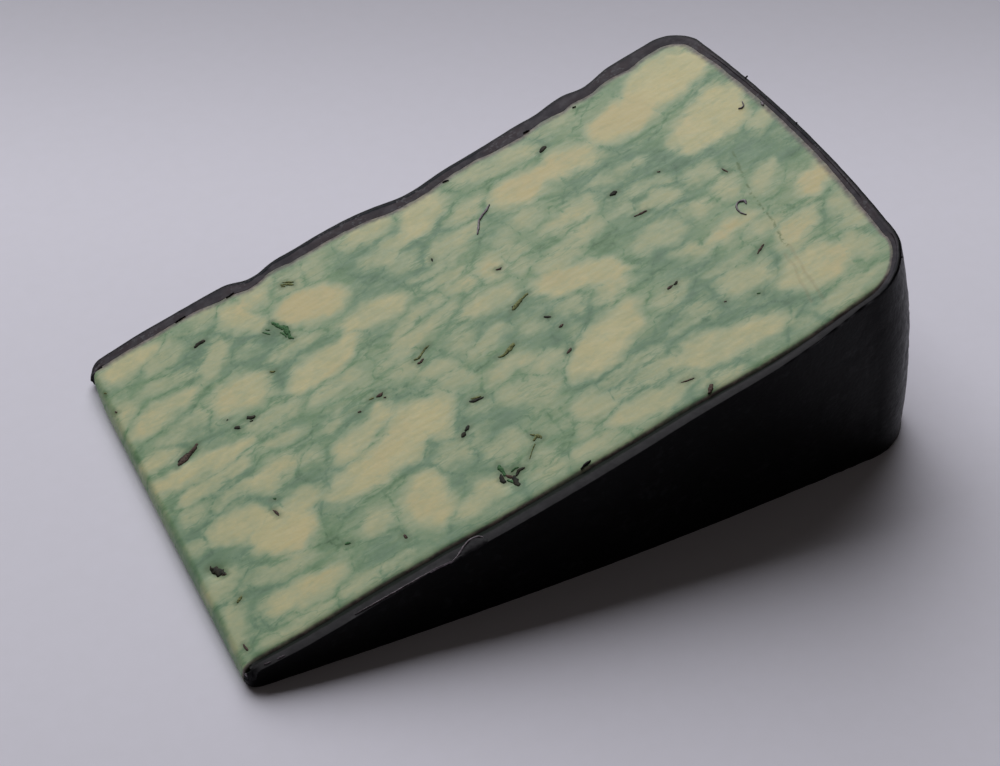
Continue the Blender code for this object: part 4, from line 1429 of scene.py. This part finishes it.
class CheeseNodes(Nodes):
    """The cheese's nodes, with the noises that they share."""

    def __init__(self):
        super().__init__("marbled_cheese")
        self.fine = self.noise(0.7, 5.0, stretch=1.5)
        self.medium = self.noise(2.4, 3.0, stretch=1.4)
        self.broad = self.noise(5.0, 3.0, shift=3.0)
        self.wide = self.noise(14.0, 1.0, shift=5.0)
        self.wobble = self.from_middle(self.fine)
        self.slow_wobble = self.from_middle(self.medium)
        self.drift = self.plus(self.product(self.wobble, 0.9), self.slow_wobble, 1.3)
        cream = self.plus(self.attribute("cream"), self.slow_wobble, 0.7)
        self.cream = self.ramp(self.plus(cream, self.wobble, 0.3), 0.0, 1.0, kind="LINEAR")

    def borders(self):
        """Soft green borders of the curds, and broken dark threads in them, fainter between cream curds."""
        border = self.plus(self.attribute("curd_border"), self.drift)
        between_cream = self.ramp(self.cream, 0.55, 0.95, 1.0, 0.35)
        wash = self.product(self.fading(border, WASH), self.ramp(self.broad, 0.4, 0.6, 0.1))
        thread = self.product(self.fading(border, THREAD), self.ramp(self.medium, 0.41, 0.58, 0.1))
        return self.product(wash, between_cream), self.product(thread, between_cream)

    def veins(self):
        """The strongest veins, and their dark cores."""
        distance = self.plus(self.attribute("vein_distance"), self.drift, 0.6)
        vein = self.product(self.fading(distance, VEIN), self.ramp(self.broad, 0.34, 0.6, 0.45))
        core = self.product(self.fading(distance, VEIN_CORE), self.ramp(self.medium, 0.4, 0.58, 0.2))
        return vein, core

    def fine_streaks(self):
        """Fine streaks away from the cream, along the cheese's grain."""
        middle = self.from_middle(self.noise(2.0, 4.0, stretch=3.4, shift=7.0))
        streaks = self.fading(self.math("ABSOLUTE", middle), GRAIN)
        off_cream = self.ramp(self.cream, 0.35, 0.85, 1.0, 0.3)
        return self.product(streaks, off_cream, self.ramp(self.broad, 0.42, 0.58, 0.2))

    def level(self):
        """How creamy the cheese is, from 1 at the creamiest curds down to -0.7 at the darkest veins."""
        wash, thread = self.borders()
        vein, core = self.veins()
        patch = self.product(self.attribute("green_patch"), self.ramp(self.medium, 0.35, 0.65, 0.15, 0.55))
        level = self.math("MULTIPLY_ADD", self.cream, 0.75, 0.165)
        level = self.plus(level, self.from_middle(self.broad), 0.4)
        level = self.plus(level, self.from_middle(self.wide), 0.5)
        level = self.plus(level, self.wobble, 0.2)
        level = self.math("SUBTRACT", level, self.largest(wash, vein, patch))
        return self.math("SUBTRACT", level, self.largest(thread, core, self.fine_streaks()))

    def marbled(self):
        """The level's colour, more golden or more teal in wide patches."""
        level = self.level()
        golden = self.product(self.ramp(self.wide, 0.5, 0.7, 0.0, 0.35), self.ramp(level, 0.6, 0.9))
        teal = self.product(self.ramp(self.wide, 0.42, 0.6, 0.35, 0.0), self.ramp(level, 0.5, -0.2))
        color = self.blend(golden, self.color_ramp(level, CHEESE_COLORS), GOLDEN_CREAM)
        return self.blend(teal, color, VEIN_TEAL)

    def marked(self, color):
        """The colour with green round the flecks, the knife's streaks, the crack and the wax's stain."""
        halo = self.fading(self.plus(self.attribute("fleck_distance"), self.wobble, 0.9), FLECK_HALO)
        streak = self.product(self.fading(self.attribute("streak_distance"), STREAK), self.fine)
        crack = self.fading(self.attribute("crack_distance"), CRACK_GREEN)
        crack = self.product(crack, self.ramp(self.fine, 0.44, 0.56))
        stain = self.fading(self.plus(self.attribute("wax_distance"), self.drift, 0.5), STAIN)
        stain = self.product(stain, self.ramp(self.medium, 0.35, 0.6, 0.75))
        stain_color = self.blend(self.ramp(self.fine, 0.42, 0.58), *STAIN_COLORS)
        color = self.blend(halo, color, FLECK_HALO_COLOR)
        color = self.blend(streak, color, STREAK_COLOR)
        color = self.blend(crack, color, CRACK_COLOR)
        return self.blend(stain, color, stain_color)


def cheese_material():
    """Cream and pale curds that fade softly into green, with watery veins and finer threads in them."""
    nodes = CheeseNodes()
    knife = nodes.noise(0.7, 2.0, stretch=6.0)
    relief = nodes.plus(nodes.product(knife, 0.3), nodes.fine, 0.5)
    return nodes.finish({
        "Base Color": nodes.marked(nodes.marbled()),
        "Roughness": nodes.ramp(knife, 0.3, 0.7, 0.4, 0.55),
        "Normal": nodes.bump(relief, 0.04),
        "Subsurface Weight": 0.12,
        "Subsurface Radius": (1.0, 0.8, 0.5),
        "Subsurface Scale": 0.8 * MM,
        "Specular IOR Level": 0.3,
    })


def herb_material():
    """Crumbs of sage, from brown-black to olive and green."""
    nodes = Nodes("sage_herb")
    fine, medium = nodes.noise(0.25, 2.0), nodes.noise(0.9, 2.0, shift=2.0)
    tones = {}
    for tone, colors in HERB_COLORS.items():
        mottle = medium if tone == "black" else fine
        tones[tone] = nodes.blend(nodes.ramp(mottle, 0.35, 0.65), *colors)
    olive, green = nodes.attribute("olive"), nodes.attribute("green")
    color = nodes.blend(nodes.ramp(olive, 0.0, 0.35), tones["black"], tones["brown"])
    color = nodes.blend(nodes.ramp(olive, 0.35, 0.85), color, tones["olive"])
    color = nodes.blend(nodes.ramp(green, 0.4, 1.0), color, tones["green"])
    relief = nodes.bump(fine, 0.05)
    return nodes.finish({"Base Color": color, "Roughness": 0.7, "Specular IOR Level": 0.2, "Normal": relief})


def shaving_and_highlight_material():
    """Thin curls of wax, paler and purplish where light comes through. The same pale wax paints highlights on
    the ridges.
    """
    nodes = Nodes("thin_wax_and_highlights")
    fine = nodes.noise(0.5, 3.0)
    color = nodes.blend(nodes.ramp(fine, 0.35, 0.65), *THIN_WAX_AND_HIGHLIGHT_COLORS)
    return nodes.finish({"Base Color": color, "Roughness": 0.5, "Normal": nodes.bump(fine, 0.03)})


class WaxNodes(Nodes):
    """The wax's nodes, with the noises and the inset that they share."""

    def __init__(self):
        super().__init__("black_wax")
        self.fine = self.noise(0.6, 3.0)
        self.medium = self.noise(1.8, 3.0, shift=4.0)
        self.broad = self.noise(6.0, 2.0)
        self.inset = self.attribute("inset")

    def outside(self):
        """Near-black, with faint scuffs."""
        scuffs = self.ramp(self.noise(1.3, 4.0, shift=6.0), 0.53, 0.66)
        scuffs = self.product(scuffs, self.ramp(self.broad, 0.42, 0.6))
        return self.blend(scuffs, self.blend(self.broad, *OUTSIDE_COLORS), SCUFF_COLOR)

    def near_band(self):
        """Charcoal, with painted shade darkening the groove beside the cheese."""
        groove = self.ramp(self.plus(self.inset, self.medium, 0.3), 1.35, 1.75)
        return self.blend(groove, self.blend(self.medium, *CHARCOAL_COLORS), GROOVE_SHADE_COLOR)

    def other_bands(self):
        """Smeared purple and grey, with a dark lip, a thin line inside it and pale crumbs."""
        place_in = self.plus(self.inset, self.from_middle(self.medium), 0.9)
        clear = self.attribute("lip")
        lip = self.product(self.ramp(place_in, 0.75, 1.0, 1.0, 0.0), clear)
        lip = self.largest(lip, self.ramp(place_in, 0.35, 0.6, 1.0, 0.0))
        line = self.ramp(self.math("ABSOLUTE", self.from_middle(place_in, 0.85)), 0.03, 0.2, 0.95, 0.0)
        line = self.product(line, self.ramp(clear, 0.6, 1.0))
        crumbs = self.ramp(self.noise(0.45, 1.0, shift=2.0), 0.56, 0.68)
        crumbs = self.product(crumbs, self.ramp(self.broad, 0.5, 0.64))
        color = self.blend(self.ramp(self.broad, 0.4, 0.6), *SMEAR_COLORS)
        color = self.blend(self.ramp(self.medium, 0.45, 0.7), color, PALE_SMEAR_COLOR)
        color = self.blend(lip, color, LIP_COLOR)
        color = self.blend(line, color, LINE_COLOR)
        return self.blend(crumbs, color, CRUMB_COLOR)


def wax_material():
    """Near-black wax, glossy outside. The knife left the near band charcoal and smeared the others purple."""
    nodes = WaxNodes()
    cut = nodes.attribute("cut")
    cut_color = nodes.blend(nodes.attribute("near"), nodes.other_bands(), nodes.near_band())
    relief = nodes.plus(nodes.product(nodes.fine, 0.8), nodes.medium, 0.6)
    relief = nodes.plus(relief, nodes.broad, 0.8)
    return nodes.finish({
        "Base Color": nodes.blend(cut, nodes.outside(), cut_color),
        "Roughness": nodes.plus(nodes.ramp(nodes.fine, 0.3, 0.7, 0.3, 0.42), cut, 0.14),
        "Normal": nodes.bump(relief, 0.05),
        "Specular IOR Level": 0.06,
    })


def floor_material():
    """Pale paper that falls into shade towards the back."""
    nodes = Nodes("pale_paper")
    paper = nodes.blend(nodes.noise(2.5, 4.0), *PAPER_COLORS)
    split = nodes.tree.nodes.new("ShaderNodeSeparateXYZ")
    nodes.link(nodes.coords, split.inputs["Vector"])
    along = nodes.product(split.outputs["X"], FLOOR_SHADE_WAY[0])
    along = nodes.plus(along, split.outputs["Y"], FLOOR_SHADE_WAY[1])
    shade = nodes.ramp(along, FLOOR_SHADE_START * MM, FLOOR_SHADE_END * MM, 1.0, FLOOR_SHADE_LEAST)
    scale = nodes.tree.nodes.new("ShaderNodeVectorMath")
    scale.operation = "SCALE"
    nodes.link(paper, scale.inputs["Vector"])
    nodes.link(shade, scale.inputs["Scale"])
    return nodes.finish({"Base Color": scale.outputs["Vector"], "Roughness": 0.9})


# ---------------------------------------------------------------- studio

FLOOR_HALF = 1600.0
FLOOR_GAP = 0.02
WINDOW_PLACE = (100.0, 730.0, 790.0)
WINDOW_SIZE = 1100.0
WINDOW_WATTS = 12.3
WINDOW_COLOR = (0.975, 0.98, 1.0)
ROOM_COLOR = (1.0, 0.9, 0.82, 1.0)
ROOM_STRENGTH = 0.04
CAMERA_PLACE = (-101.14, -204.41, 213.18)
CAMERA_TARGET = (-4.93, -7.66, 13.8)
CAMERA_LENS = 75.6
CAMERA_SENSOR = 36.0
CAMERA_CLIP = 10.0


def make_floor(material):
    half = FLOOR_HALF * MM
    corners = [(-half, -half, 0.0), (half, -half, 0.0), (half, half, 0.0), (-half, half, 0.0)]
    mesh = bpy.data.meshes.new("paper_floor")
    mesh.from_pydata(corners, [], [(0, 1, 2, 3)])
    mesh.materials.append(material)
    floor = bpy.data.objects.new("paper_floor", mesh)
    floor.location.z = CAD_LOW.z - FLOOR_GAP * MM
    bpy.context.scene.collection.objects.link(floor)


def put_and_aim(name, data, place_mm, target_mm):
    """An object at a place, looking at a target, both in millimetres."""
    obj = bpy.data.objects.new(name, data)
    obj.location = [MM * value for value in place_mm]
    direction = Vector([MM * value for value in target_mm]) - obj.location
    obj.rotation_euler = direction.to_track_quat("-Z", "Y").to_euler()
    bpy.context.scene.collection.objects.link(obj)
    return obj


def make_lights():
    """One large window behind the wedge, and a faint warm room."""
    window = bpy.data.lights.new("window", "AREA")
    window.shape = "SQUARE"
    window.size = WINDOW_SIZE * MM
    window.energy = WINDOW_WATTS
    window.color = WINDOW_COLOR
    put_and_aim("window", window, WINDOW_PLACE, (0.0, 0.0, 0.0))
    world = bpy.data.worlds.new("soft_room")
    world.use_nodes = True
    background = world.node_tree.nodes["Background"]
    background.inputs["Color"].default_value = ROOM_COLOR
    background.inputs["Strength"].default_value = ROOM_STRENGTH
    bpy.context.scene.world = world


def make_camera():
    camera = bpy.data.cameras.new("camera")
    camera.sensor_fit = "HORIZONTAL"
    camera.sensor_width = CAMERA_SENSOR
    camera.lens = CAMERA_LENS
    camera.clip_start = CAMERA_CLIP * MM
    bpy.context.scene.camera = put_and_aim("camera", camera, CAMERA_PLACE, CAMERA_TARGET)


def set_view():
    view = bpy.context.scene.view_settings
    view.view_transform = "Standard"
    view.look = "None"


def main():
    make_camera()
    make_lights()
    set_view()
    make_floor(floor_material())
    cheese_body(cheese_material())
    wax = wax_material()
    wax_rind(wax)
    wax_crumbs(wax)
    sage_flecks(herb_material())
    wax_shavings_and_highlights(shaving_and_highlight_material())


main()
